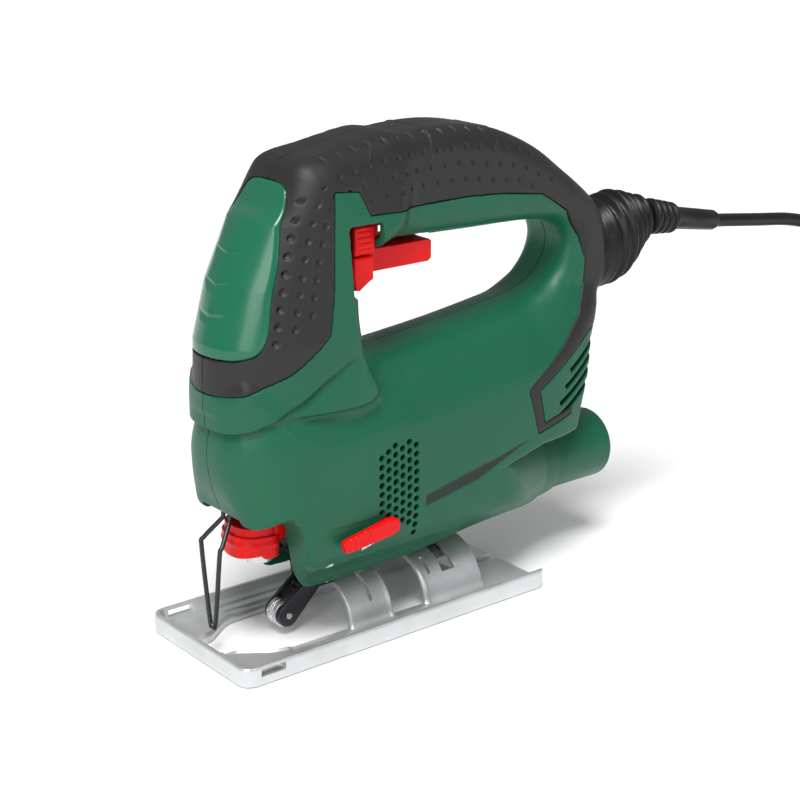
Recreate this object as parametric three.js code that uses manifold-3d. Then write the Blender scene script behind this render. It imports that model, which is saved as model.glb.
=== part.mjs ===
// A compact corded jigsaw: two clamshell housing halves with a loop handle and a soft grip, a motor
// and gear train inside, a plunger with a tool-free blade clamp, a swinging guide roller, and a
// pressed steel base plate that tilts 45 degrees each way. Millimetres, +Z up. The nose points to -X,
// the left flank faces -Y and the cord leaves at the back, towards +X.
// The parts are drawn with X = 0 at the middle of the base plate, and Z = 0 at its sole.
import * as THREE from "three";
import { mergeVertices } from "three/addons/utils/BufferGeometryUtils.js";
import Module from "manifold-3d";

const wasm = await Module();
wasm.setup();

// ---- Driving dimensions -------------------------------------------------------------------------
const GAP = 0.3; // clearance between pieces that touch in the real tool
const PLATE_LENGTH = 150;
const PLATE_WIDTH = 67;
const SHEET = 2; // base plate steel
const RIM_HEIGHT = 7.5;
const ARCH_RADIUS = 20; // outside of the saddle that the housing tilts on
const HANDLE_HALF_WIDTH = 18;
const HANDLE_ROUND = 8;
const WALL = 3.4;
const GRIP_SKIN = 1.6; // thickness of the soft grip and of the front cover
const MOTOR_Z = 76;
const GEAR_MODULE = 0.9;
const PINION_TEETH = 10;
const GEAR_TEETH = 50;
const GEAR_Z = MOTOR_Z + (GEAR_MODULE * (PINION_TEETH + GEAR_TEETH)) / 2;
const PLUNGER_X = -46;
const PLUNGER_RADIUS = 4;
const STROKE = 20;
const ROLLER = { x: -35.5, z: 8, radius: 5.3 };
const FORK_PIVOT = { x: -20.5, z: 21 };
const TUBE_Z = 42.4;
const TUBE_RADIUS = 15.1;
const TUBE_END_X = 128.7;
const CORD_DIAMETER = 6;
const COIL = { x: 356, inner: 23.75, outer: 41.75, bottom: 1, top: 37 };
const TIE_SKIN = 0.7;

const GREEN = 0x14664a;
const BLACK = 0x1b1c1e;
const RED = 0xc8141c;
const STEEL = 0xb9bcc0;
const COPPER = 0xb5672e;

// ---- Solids -------------------------------------------------------------------------------------
/** Turns a closed geometry into a manifold-3d solid. */
function solid(geometry) {
  const plain = geometry.index ? geometry.toNonIndexed() : geometry.clone();
  plain.deleteAttribute("normal");
  plain.deleteAttribute("uv");
  const merged = mergeVertices(plain, 1e-4);
  return new wasm.Manifold(new wasm.Mesh({
    numProp: 3,
    vertProperties: new Float32Array(merged.attributes.position.array),
    triVerts: new Uint32Array(merged.index.array),
  }));
}

/** Turns a manifold-3d solid back into a geometry. */
function geometryOf(manifold) {
  const mesh = manifold.getMesh();
  const geometry = new THREE.BufferGeometry();
  const corners = new Float32Array((mesh.vertProperties.length / mesh.numProp) * 3);
  for (let i = 0; i < corners.length / 3; i += 1) {
    for (let k = 0; k < 3; k += 1) {
      corners[3 * i + k] = mesh.vertProperties[mesh.numProp * i + k];
    }
  }
  geometry.setAttribute("position", new THREE.BufferAttribute(corners, 3));
  geometry.setIndex(new THREE.BufferAttribute(mesh.triVerts, 1));
  geometry.computeVertexNormals();
  return geometry;
}

function union(...solids) {
  return solids.reduce((whole, next) => whole.add(next));
}

function cut(from, ...tools) {
  return tools.reduce((left, tool) => left.subtract(tool), from);
}

/** Extrudes an outline; the options are those of ExtrudeGeometry. */
function extrude(points, depth, options = {}) {
  const { hole, ...rest } = options;
  const shape = new THREE.Shape(points.map(([u, v]) => new THREE.Vector2(u, v)));
  if (hole) shape.holes.push(new THREE.Path(hole.map(([u, v]) => new THREE.Vector2(u, v))));
  return new THREE.ExtrudeGeometry(shape, { depth, bevelEnabled: false, ...rest });
}

/** An outline in X and Z, extruded across the tool from y0 to y1. */
function across(points, y0, y1, options) {
  return solid(extrude(points, y1 - y0, options).rotateX(Math.PI / 2).translate(0, y1, 0));
}

/** An outline in Y and Z, extruded along the tool from x0 to x1. */
function along(points, x0, x1, options) {
  const turn = new THREE.Matrix4().makeBasis(
    new THREE.Vector3(0, 1, 0),
    new THREE.Vector3(0, 0, 1),
    new THREE.Vector3(1, 0, 0),
  );
  return solid(extrude(points, x1 - x0, options).applyMatrix4(turn).translate(x0, 0, 0));
}

/** An outline in X and Y, extruded upward from z0 to z1. */
function upward(points, z0, z1, options) {
  return solid(extrude(points, z1 - z0, options).translate(0, 0, z0));
}

function box(x0, x1, y0, y1, z0, z1) {
  const geometry = new THREE.BoxGeometry(x1 - x0, y1 - y0, z1 - z0);
  return solid(geometry.translate((x0 + x1) / 2, (y0 + y1) / 2, (z0 + z1) / 2));
}

/** A round bar along "x", "y" or "z" from one coordinate to another; at gives the other two. */
function bar(axis, radius, from, to, at, sides = 24) {
  const geometry = new THREE.CylinderGeometry(radius, radius, to - from, sides);
  const middle = (from + to) / 2;
  if (axis === "x") geometry.rotateZ(-Math.PI / 2).translate(middle, at[0], at[1]);
  if (axis === "y") geometry.translate(at[0], middle, at[1]);
  if (axis === "z") geometry.rotateX(Math.PI / 2).translate(at[0], at[1], middle);
  return solid(geometry);
}

/** A tube along an axis, as a bar with a bore through it. */
function sleeve(axis, outer, inner, from, to, at, sides = 24) {
  return cut(bar(axis, outer, from, to, at, sides), bar(axis, inner, from - 1, to + 1, at, sides));
}

/** A closed smooth outline through a few points. */
function smooth(points, steps) {
  const path = points.map(([u, v]) => new THREE.Vector3(u, v, 0));
  const curve = new THREE.CatmullRomCurve3(path, true, "centripetal");
  return curve.getPoints(steps).slice(0, -1).map((p) => [p.x, p.y]);
}

/** Moves each point of a counter-clockwise outline inward by a distance. */
function inset(points, distance) {
  return points.map((point, i) => {
    const before = points[(i + points.length - 1) % points.length];
    const after = points[(i + 1) % points.length];
    const [du, dv] = [after[0] - before[0], after[1] - before[1]];
    const length = Math.hypot(du, dv);
    return [point[0] - (dv / length) * distance, point[1] + (du / length) * distance];
  });
}

/** An outline given as its +u half, from top to bottom, completed by its mirror image. */
function mirrored(half) {
  const rest = half.filter(([u]) => u > 0).reverse().map(([u, v]) => [-u, v]);
  return [...half, ...rest].reverse();
}

function arc(cu, cv, radius, from, to, steps) {
  return Array.from({ length: steps + 1 }, (_, i) => {
    const angle = THREE.MathUtils.degToRad(from + ((to - from) * i) / steps);
    return [cu + radius * Math.cos(angle), cv + radius * Math.sin(angle)];
  });
}

// ---- Housing envelope ---------------------------------------------------------------------------
// Side outline of the body below the handle, counter-clockwise seen with X right and Z up.
const BODY_SIDE = [
  [-46, 56], [-37, 26], [-33, 22], [-17, 21], [5, 21.5], [30, 23], [50, 25.5], [75, 27.5], [98, 28.5],
  [99, 45], [99.5, 57], [103.5, 70], [109.5, 82], [113, 93], [115.5, 104], [115, 112], [108, 117.5], [90, 118],
  [67, 116.5], [45, 114.5], [25, 113], [10, 112], [-9, 112], [-40, 116], [-58, 113], [-66.5, 104], [-68.4, 94],
  [-67.6, 76], [-65, 61.5], [-61.4, 54],
];
// Half of the body's cross-section: Y and Z from the top down.
const BODY_SECTION = [
  [0, 126], [11, 124.5], [18.5, 120.5], [24.5, 113], [28, 103], [29.7, 92], [30, 70], [29.6, 52],
  [27.5, 40], [23.5, 33.6], [18, 30.6], [14.8, 26.8], [14, 21], [0, 20.5],
];
// Half of the body's outline seen from above: Y and X, from the back to the nose.
const BODY_PLAN = [
  [0, 119], [13, 115], [20, 108], [25.5, 95], [29, 78], [30, 56], [30, -28], [28.5, -42],
  [24.5, -54], [17, -63], [9, -67.5], [0, -68.5],
];
const TOWER_SIDE = [
  [-68.6, 96], [-9, 100], [-11.5, 120], [-11.5, 140], [-6, 152], [8, 160], [8, 190.8], [-4, 189.4],
  [-13, 187.2], [-26, 182.2], [-34.5, 176], [-46, 168.5], [-55, 159.5], [-62.5, 143], [-67.5, 122],
  [-68.2, 106],
];
const TOWER_SECTION = [
  [0, 194.5], [9, 192.5], [15, 188], [19, 181], [22.5, 170], [25.5, 152], [28, 132], [29.6, 112],
  [29.9, 95], [0, 94.8],
];
const HANDLE_OUTSIDE = [
  [-34, 184], [-37, 150], [-34, 84], [40, 80], [95, 82], [110, 94], [119, 108], [125.6, 120],
  [126.4, 128], [125, 140], [121.5, 148], [116, 154.5], [108, 161], [98.5, 167.8], [83, 178.6],
  [63.5, 187.4], [48, 191], [33, 192.2], [9, 190.8], [-14, 187],
];
const HANDLE_OPENING = [
  [-10.5, 130], [-9, 118], [-3, 110], [10, 108], [45, 110.5], [67, 113], [80, 117], [88, 124],
  [92.5, 131], [92.5, 138], [88, 144], [78, 149], [65, 151.5], [45, 152.2], [15, 152.8], [-5, 152.8],
  [-10, 147],
];
const NOSE_LEAN = 0.31; // how far the tower's front leans back for each millimetre of height

/** The nose's outline from above, leaning back as it rises. */
function towerPlan(distance) {
  const half = [
    [0, 16], [29, 12], [30, -24], [28.6, -40], [24.5, -54], [17.5, -63.5], [9, -69.5], [0, -71.3],
  ];
  const outline = mirrored(half).map(([y, x]) => [x, y]).reverse();
  const geometry = extrude(inset(outline, distance), 110).translate(0, 0, 92);
  const lean = new THREE.Matrix4().makeShear(0, 0, 0, 0, NOSE_LEAN, 0);
  return solid(geometry.translate(0, 0, -106).applyMatrix4(lean).translate(0, 0, 106));
}

/** The handle loop with rounded edges, its skin moved inward by a distance. */
function handleLoop(distance) {
  const round = HANDLE_ROUND - distance;
  const half = HANDLE_HALF_WIDTH - distance;
  const outside = inset(smooth(HANDLE_OUTSIDE, 34), distance);
  const hole = inset(smooth(HANDLE_OPENING, 22).reverse(), distance);
  return across(outside, -half, half, {
    hole,
    depth: 2 * (half - round),
    bevelEnabled: true,
    bevelThickness: round,
    bevelSize: round,
    bevelOffset: -round,
    bevelSegments: 2,
  }).translate(0, -round, 0);
}

/** The whole tool's outer shape, with its skin moved inward by a distance. */
function envelope(distance) {
  const side = across(inset(smooth(BODY_SIDE, 40), distance), -40, 40);
  const section = along(inset(mirrored(BODY_SECTION), distance), -80, 140);
  const plan = mirrored(BODY_PLAN).map(([y, x]) => [x, y]).reverse();
  const body = side.intersect(section).intersect(upward(inset(plan, distance), 0, 200));
  const tower = across(inset(smooth(TOWER_SIDE, 26), distance), -40, 40)
    .intersect(along(inset(mirrored(TOWER_SECTION), distance), -80, 140))
    .intersect(towerPlan(distance));
  return union(body, tower, handleLoop(distance));
}

// ---- The scene graph ----------------------------------------------------------------------------
const jigsaw = new THREE.Group();
const FINISH = {
  plastic: [0.5, 0],
  rubber: [0.85, 0],
  steel: [0.35, 0.9],
  copper: [0.4, 0.9],
};

/** Adds one named piece. */
function add(name, shape, color, finish = "plastic") {
  const geometry = shape.isBufferGeometry ? shape : geometryOf(shape);
  const [roughness, metalness] = FINISH[finish];
  const material = new THREE.MeshStandardMaterial({ color, roughness, metalness });
  const mesh = new THREE.Mesh(geometry, material);
  mesh.name = name;
  jigsaw.add(mesh);
}

// ---- Base plate ---------------------------------------------------------------------------------
const ARCHES = [[-16, 4], [21, 51]]; // the two bridges of the saddle, from X to X
const CLAMP_X = 36; // the screw that locks the tilt
const FENCE_SLOT = { from: -68, to: -57, low: 3.4, high: 6.4 };

function roundedPlan(length, width, radius) {
  const [u, v] = [length / 2 - radius, width / 2 - radius];
  return [
    ...arc(u, v, radius, 0, 90, 4),
    ...arc(-u, v, radius, 90, 180, 4),
    ...arc(-u, -v, radius, 180, 270, 4),
    ...arc(u, -v, radius, 270, 360, 4),
  ];
}

function basePlate() {
  const rim = 3.5;
  const ledge = 3;
  const outline = upward(roundedPlan(PLATE_LENGTH, PLATE_WIDTH, 7), 0, RIM_HEIGHT);
  const tray = upward(roundedPlan(PLATE_LENGTH - 2 * rim, PLATE_WIDTH - 2 * rim, 4.5), ledge, 20);
  const floor = upward(
    roundedPlan(PLATE_LENGTH - 2 * rim - 5, PLATE_WIDTH - 2 * rim - 6, 4), SHEET, 20);
  const lowBack = box(PLATE_LENGTH / 2 - rim - 0.1, PLATE_LENGTH, -27, 27, SHEET, 20);
  const bladeOpening = upward([
    [-71, -8], [-66, -9], [-60, -9], [-57, -16], [-40, -18], [51, -18], [51, 18], [-40, 18],
    [-57, 16], [-60, 9], [-66, 9], [-71, 8],
  ], -1, 20);
  const backSlot = box(62, 80, -2.5, 2.5, -1, 20);
  const backKey = box(57.5, 62.1, -5, 5, -1, 20);
  let plate = cut(outline, tray, floor, lowBack, bladeOpening, backSlot, backKey);
  for (const [from, to] of ARCHES) {
    const inner = ARCH_RADIUS - SHEET;
    const bridge = cut(
      bar("x", ARCH_RADIUS, from, to, [0, 0], 40),
      bar("x", inner, from - 1, to + 1, [0, 0], 40),
      box(from - 1, to + 1, -30, 30, -30, 0),
    );
    plate = plate.add(bridge);
  }
  const slot = [
    [0, 0], ...arc(0, 0, ARCH_RADIUS + 3, 90 - 53, 90 + 53, 8),
  ];
  const { from, to, low, high } = FENCE_SLOT;
  return cut(
    plate,
    along(slot, CLAMP_X - 3.3, CLAMP_X + 3.3),
    box(from, to, -40, -28, low, high),
    box(from, to, 28, 40, low, high),
  );
}

function clampShoe() {
  const sector = [...arc(0, 0, ARCH_RADIUS - SHEET - 0.5, 68, 112, 8), ...arc(0, 0, 13, 112, 68, 6)];
  return cut(along(sector, CLAMP_X - 7, CLAMP_X + 7), bar("z", 2.8, 0, 30, [CLAMP_X, 0], 16));
}

function clampScrew() {
  return cut(
    union(bar("z", 4.5, 7.2, 11.6, [CLAMP_X, 0], 20), bar("z", 2.4, 11, 31, [CLAMP_X, 0], 16)),
    bar("z", 2, 6, 9.7, [CLAMP_X, 0], 6),
  );
}

// ---- Housing shells, soft grip and front cover --------------------------------------------------
// Where the soft grip covers the housing, seen from the side (X and Z, counter-clockwise).
const GRIP_REGION = [
  [-90, 104], [-66, 104], [-58, 107.5], [-48, 112.5], [-38, 118.5], [-31, 126], [-28.5, 140],
  [-27.5, 163], [-20, 173.5], [-9, 173], [-3, 164], [18, 163.5], [44, 164], [62, 163], [82, 160.5],
  [95, 152.5], [104, 138], [105.5, 123], [102, 108], [92, 95], [75, 82], [72, 76], [76, 64],
  [86, 67.5], [90, 78], [104, 92], [112, 101], [150, 99], [150, 210], [-90, 210],
];
// The front cover's outline, seen from the front: its +Y half from the top down (Y and Z).
const COVER_HALF = [
  [0, 181.5], [12, 181], [17, 178.5], [18.8, 168], [20.2, 150], [20.2, 134], [17.5, 123],
  [9, 118.4], [0, 117.5],
];
const SCREWS = [
  [-28, 171, 17], [62, 174, 17], [114, 136, 15.5], [98, 92, 20], [62, 39, 24], [-57, 88, 17],
];
const VENT = { from: -10, pitch: 3.4, columns: 6, low: 45, high: 80 };

/** The rubber bellows round the cord's exit, its skin moved outward by a distance. */
function bootShape(grow) {
  const profile = [
    [0, 126 - grow], [15 + grow, 126 - grow], [19.5 + grow, 130], [19.5 + grow, 138],
    [15.5 + grow, 145], [11.5 + grow, 151], [9.5 + grow, 157 + grow], [0, 157 + grow],
  ];
  const points = profile.map(([radius, x]) => new THREE.Vector2(radius, x - 133));
  const lathe = new THREE.LatheGeometry(points, 28).rotateZ(-Math.PI / 2);
  const rise = new THREE.Matrix4().makeShear(0, 0.26, 0, 0, 0, 0);
  return solid(lathe.scale(1, 0.86, 1).rotateX(Math.PI / 2).applyMatrix4(rise).translate(133, 0, 132));
}

function screwBore([x, z, half]) {
  return union(
    bar("y", 2.4, -half + 6, half + 20, [x, z], 12),
    bar("y", 3.8, half - 6, half + 20, [x, z], 12),
  );
}

function housingCuts() {
  const slots = [];
  for (let i = 0; i < VENT.columns; i += 1) {
    const x = VENT.from + VENT.pitch * i;
    slots.push(box(x - 0.9, x + 0.9, -40, 40, VENT.low, VENT.high));
  }
  for (let i = 0; i < 5; i += 1) {
    const z = 70 + 6 * i;
    slots.push(box(100 - 1.2 * (4 - i), 112, -40, -17, z, z + 2.6));
    slots.push(box(100 - 1.2 * (4 - i), 112, 17, 40, z, z + 2.6));
  }
  return [
    across([[-61.5, 50], [-46, 15], [-14.5, 15], [-14.5, 54], [-34, 64], [-61.5, 64]], -12.6, 12.6),
    bar("x", TUBE_RADIUS + GAP, 86, 140, [0, TUBE_Z], 32),
    box(97, 140, -40, 40, 15, 58.4),
    bootShape(GAP),
    box(-4.4, 29.4, -8.4, 8.4, 146, 158),
    box(-11.2, -1.8, -30, -5, 149.8, 161.2),
    box(-11.2, -1, -30, -0.6, 137, 150),
    bar("y", 3.3, -40, -20, [-6, 46], 16),
    bar("z", 2.8, 10, 34, [CLAMP_X, 0], 16),
    ...slots,
  ];
}

function halves(name, whole, color, finish) {
  add(`${name}_left`, whole.intersect(box(-200, 300, -60, -GAP / 2, -10, 300)), color, finish);
  add(`${name}_right`, whole.intersect(box(-200, 300, GAP / 2, 60, -10, 300)), color, finish);
}

function addHousing() {
  const outer = envelope(0);
  const core = envelope(GRIP_SKIN + GAP);
  const skin = cut(outer, envelope(GRIP_SKIN));
  const cover = mirrored(COVER_HALF);
  const gripMask = across(GRIP_REGION, -60, 60);
  const coverMask = along(cover, -90, -30);
  const wideGrip = across(inset(GRIP_REGION, -GAP), -61, 61);
  const wideCover = along(inset(cover, -GAP), -90, -30);
  const boot = bootShape(GAP);
  const bosses = SCREWS.map(([x, z]) => bar("y", 4.4, -40, 40, [x, z], 10));
  let shell = union(cut(outer, wideGrip, wideCover), core);
  shell = cut(shell, envelope(WALL));
  shell = union(shell, ...bosses.map((boss) => boss.intersect(core)));
  shell = cut(shell, ...housingCuts(), ...SCREWS.map(screwBore));
  halves("housing", shell, GREEN);
  const grip = cut(skin.intersect(gripMask), wideCover, boot, box(-11, -2, -30, -7, 149.8, 161.2));
  halves("soft_grip", grip, BLACK, "rubber");
  add("front_cover", skin.intersect(coverMask), GREEN);
}

function addScrews() {
  SCREWS.forEach(([x, z, half], i) => {
    const head = bar("y", 3.3, half - 5.6, half - 3, [x, z], 12);
    const shank = bar("y", 1.9, -half + 7, half - 5.5, [x, z], 10);
    add(`housing_screw_${i + 1}`, union(head, shank), STEEL, "steel");
  });
}

// ---- Motor --------------------------------------------------------------------------------------
const MOTOR_AT = [0, MOTOR_Z];
const SHAFT_RADIUS = 3.2;
const BORE = SHAFT_RADIUS + GAP;

/** A spur gear's outline with involute flanks, centred on the origin, one tooth on the +v axis. */
function gearOutline(teeth, backlash) {
  const pitch = (GEAR_MODULE * teeth) / 2;
  const base = pitch * Math.cos(THREE.MathUtils.degToRad(20));
  const root = pitch - 1.25 * GEAR_MODULE;
  const tip = pitch + 0.95 * GEAR_MODULE;
  const roll = (radius) => {
    const t = Math.sqrt(Math.max(0, (radius / base) ** 2 - 1));
    return t - Math.atan(t);
  };
  const half = Math.PI / (2 * teeth) - backlash / (2 * pitch);
  const rise = [Math.max(root, base), pitch, tip].map((r) => [r, half + roll(pitch) - roll(r)]);
  if (root < base) rise.unshift([root, rise[0][1]]);
  const tooth = [...rise.map(([r, a]) => [r, -a]), ...rise.reverse()];
  const outline = [];
  for (let i = teeth - 1; i >= 0; i -= 1) {
    const turn = Math.PI / 2 + (2 * Math.PI * i) / teeth;
    for (const [r, a] of tooth) outline.push([r * Math.cos(turn - a), r * Math.sin(turn - a)]);
  }
  return outline;
}

function fan() {
  let wheel = sleeve("x", 20, BORE, 0.4, 1.6, MOTOR_AT, 24);
  const hub = sleeve("x", 6, BORE, -6.5, 1.6, MOTOR_AT, 18);
  wheel = wheel.add(hub);
  for (let i = 0; i < 9; i += 1) {
    const blade = solid(new THREE.BoxGeometry(6, 1.2, 14.4).translate(-2.3, 0, 12.6));
    wheel = wheel.add(blade.rotate([40 * i, 0, 0]).translate([0, 0, MOTOR_Z]));
  }
  return cut(wheel, bar("x", BORE, -10, 10, MOTOR_AT, 18));
}

function stator() {
  const square = roundedPlan(44, 44, 12).map(([y, z]) => [y, z + MOTOR_Z]);
  return cut(along(square, 11, 56), bar("x", 15, 5, 60, MOTOR_AT, 28));
}

function brushHolder(side) {
  const [near, far] = side < 0 ? [-24, -9.5] : [9.5, 24];
  const holder = box(65.5, 76.5, near, far, MOTOR_Z - 5.5, MOTOR_Z + 5.5);
  return cut(holder, box(67.2, 74.8, -30, 30, MOTOR_Z - 3.3, MOTOR_Z + 3.3));
}

function addMotor() {
  const pinion = gearOutline(PINION_TEETH, 0.16).map(([y, z]) => [y, z + MOTOR_Z]);
  const shaft = union(
    bar("x", SHAFT_RADIUS, -17.5, 92, MOTOR_AT, 18),
    bar("x", 1.6, -25, -17, MOTOR_AT, 12),
  );
  add("armature_shaft", shaft, STEEL, "steel");
  add("drive_pinion", cut(along(pinion, -24.6, -18.2), bar("x", 1.9, -30, 0, MOTOR_AT, 12)), STEEL, "steel");
  add("cooling_fan", fan(), BLACK);
  add("armature_core", sleeve("x", 14.4, BORE, 12, 54, MOTOR_AT, 24), STEEL, "steel");
  add("winding_front", sleeve("x", 12.5, BORE, 5, 11.7, MOTOR_AT, 20), COPPER, "copper");
  add("winding_back", sleeve("x", 12.5, BORE, 54.3, 62, MOTOR_AT, 20), COPPER, "copper");
  add("commutator", sleeve("x", 8, BORE, 64, 78, MOTOR_AT, 24), COPPER, "copper");
  add("bearing_front", sleeve("x", 9.5, BORE, -15, -8, MOTOR_AT, 24), STEEL, "steel");
  add("bearing_back", sleeve("x", 8, BORE, 83, 90, MOTOR_AT, 24), STEEL, "steel");
  add("field_stator", stator(), STEEL, "steel");
  for (const [side, name] of [[-1, "left"], [1, "right"]]) {
    const [near, far] = side < 0 ? [-18, -8.5] : [8.5, 18];
    add(`brush_holder_${name}`, brushHolder(side), BLACK);
    add(`carbon_brush_${name}`, box(67.6, 74.4, near, far, MOTOR_Z - 3, MOTOR_Z + 3), BLACK);
  }
}

// ---- Gear train and plunger ---------------------------------------------------------------------
const GEAR_AT = [0, GEAR_Z];
const CRANK_Z = GEAR_Z - STROKE / 2; // the crank pin at its lowest
const ROD_AT = [PLUNGER_X, 0];
const CLAMP_TOP = 45;

function drivenGear() {
  const space = Math.PI / GEAR_TEETH; // a tooth space faces the pinion's tooth
  const outline = gearOutline(GEAR_TEETH, 0.16).map(([y, z]) => [
    y * Math.cos(space) - z * Math.sin(space),
    y * Math.sin(space) + z * Math.cos(space) + GEAR_Z,
  ]);
  return cut(
    along(outline, -24.2, -18.2),
    bar("x", 3.3, -30, -10, GEAR_AT, 18),
    bar("x", 3.3, -30, -19.5, [0, CRANK_Z], 16),
  );
}

/** The gearbox casting: a bulkhead for the bearing and the axle, and two arms for the bushes. */
function gearBracket() {
  const bulkhead = box(-17.8, -15.8, -20, 20, 58, 138);
  const seat = bar("x", 12.4, -16, -8, MOTOR_AT, 28);
  const axleBoss = bar("x", 6, -16, -10, GEAR_AT, 20);
  const upperArm = box(-54, -16, -9, 9, 128, 138);
  const lowerArm = union(box(-54, -16, -11.5, -8.6, 66, 78), box(-54, -16, 8.6, 11.5, 66, 78));
  const lowerBlock = box(-54, -38.5, -9, 9, 66, 78);
  return cut(
    union(bulkhead, seat, axleBoss, upperArm, lowerArm, lowerBlock),
    bar("x", 9.8, -15, 0, MOTOR_AT, 28),
    bar("x", 5, -30, 0, MOTOR_AT, 20),
    bar("x", 3.3, -30, 0, GEAR_AT, 18),
    bar("z", 7.3, 50, 150, ROD_AT, 24),
  );
}

/** The Scotch yoke: a block on the plunger with a crosswise slot for the crank pin. */
function yoke() {
  const block = box(-51.5, -31, -17, 17, CRANK_Z - 6.5, CRANK_Z + 6.5);
  const slot = box(-38, -20, -13.6, 13.6, CRANK_Z - 3.4, CRANK_Z + 3.4);
  const slim = union(
    box(-60, -40.6, -30, -7, 60, 130),
    box(-60, -40.6, 7, 30, 60, 130),
  );
  return cut(block, slot, slim, bar("z", PLUNGER_RADIUS + GAP, 60, 130, ROD_AT, 20));
}

/** The blade clamp on the plunger's foot, slotted for a T-shank. */
function bladeClamp() {
  return cut(
    bar("z", 6.5, 34, CLAMP_TOP, ROD_AT, 24),
    bar("z", PLUNGER_RADIUS + GAP, 39.7, 60, ROD_AT, 20),
    box(-49.5, -42.5, -0.8, 0.8, 30, 41),
    box(-60, -51, -1.6, 1.6, 30, 38),
  );
}

function addGearTrain() {
  add("gear_bracket", gearBracket(), STEEL, "steel");
  add("gear_axle", bar("x", 3, -27, -10.5, GEAR_AT, 18), STEEL, "steel");
  add("drive_gear", drivenGear(), STEEL, "steel");
  add("crank_pin", bar("x", 3, -30.6, -19.8, [0, CRANK_Z], 16), STEEL, "steel");
  add("plunger_rod", bar("z", PLUNGER_RADIUS, 40, 140.2, ROD_AT, 20), STEEL, "steel");
  add("plunger_yoke", yoke(), STEEL, "steel");
  add("blade_clamp", bladeClamp(), STEEL, "steel");
  add("upper_bush", sleeve("z", 7, PLUNGER_RADIUS + GAP, 126.8, 139.5, ROD_AT, 20), COPPER, "copper");
  add("lower_bush", sleeve("z", 7, PLUNGER_RADIUS + GAP, 66, 79, ROD_AT, 20), COPPER, "copper");
}

// ---- Blade release, contact guard and guide roller ------------------------------------------------
const LEVER_PIVOT = { x: -36.8, z: 48.5 };

/** The red blade release: a scoop round the clamp, on two arms that reach back to its pin. */
function releaseLever() {
  const plan = (half, front) => [
    [-44, -half], [-44, half], [front + 6, half], [front + 1.5, half * 0.62], [front, half * 0.25],
    [front, -half * 0.25], [front + 1.5, -half * 0.62], [front + 6, -half],
  ].reverse();
  const scoop = cut(upward(plan(11.4, -58.6), 37.5, 50), upward(plan(8.8, -56), 30, 60));
  const arm = [[-45, 44], [-36.8, 45.2], [-33.9, 47], [-33.9, 50.4], [-36.8, 51.6], [-45, 50]];
  return cut(
    union(scoop, across(arm, -11.4, -8.8), across(arm, 8.8, 11.4)),
    box(-43.9, -36, -20, 20, 30, 43.9),
    bar("y", 1.7, -20, 20, [LEVER_PIVOT.x, LEVER_PIVOT.z], 14),
  );
}

/** The black guide block between the side walls, with two lugs for the roller fork. */
function guideBlock() {
  const side = [[-32.6, 54], [-32.6, 35], [-27, 27], [-17, 27], [-17, 54]].reverse();
  const lug = [[-26, 30], [-24.5, 18.4], [-16.6, 18.4], [-16.6, 30]];
  return cut(
    union(across(side, -11.8, 11.8), across(lug, -9, -5.6), across(lug, 5.6, 9)),
    box(-30, -19.5, -9, 9, 31, 60),
    bar("y", 1.7, -20, 20, [FORK_PIVOT.x, FORK_PIVOT.z], 14),
  );
}

function rollerFork() {
  const [x0, z0, x1, z1] = [FORK_PIVOT.x, FORK_PIVOT.z, ROLLER.x, ROLLER.z];
  const slope = Math.atan2(z1 - z0, x1 - x0);
  const deg = THREE.MathUtils.radToDeg(slope);
  const outline = [...arc(x1, z1, 4.6, deg - 90, deg + 90, 8), ...arc(x0, z0, 3.2, deg + 90, deg + 270, 6)];
  const cheeks = union(across(outline, -5, -3.3), across(outline, 3.3, 5));
  const webMiddle = [x0 + 0.36 * (x1 - x0), z0 + 0.36 * (z1 - z0)];
  const web = arc(webMiddle[0], webMiddle[1], 2.2, 0, 315, 7);
  return cut(
    union(cheeks, across(web, -4, 4)),
    bar("y", 1.7, -20, 20, [x0, z0], 14),
    bar("y", 1.4, -20, 20, [x1, z1], 14),
  );
}

/** The wire finger guard: a narrow loop that hangs in front of the blade. */
function wireGuard() {
  const half = [[-59.5, 2.2, 62], [-59.5, 2.2, 54], [-60.5, 3, 51.8], [-66, 6.4, 45], [-67, 6.2, 42],
    [-67.1, 1.9, 13.2], [-67.1, 0, 11.6]];
  const points = [...half, ...half.slice(0, -1).reverse().map(([x, y, z]) => [x, -y, z])];
  const path = new THREE.CatmullRomCurve3(points.map((p) => new THREE.Vector3(...p)), false, "centripetal");
  const section = new THREE.Shape(arc(0, 0, 0.9, 0, 300, 5).map(([u, v]) => new THREE.Vector2(u, v)));
  return new THREE.ExtrudeGeometry(section, { steps: 30, extrudePath: path, bevelEnabled: false });
}

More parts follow.
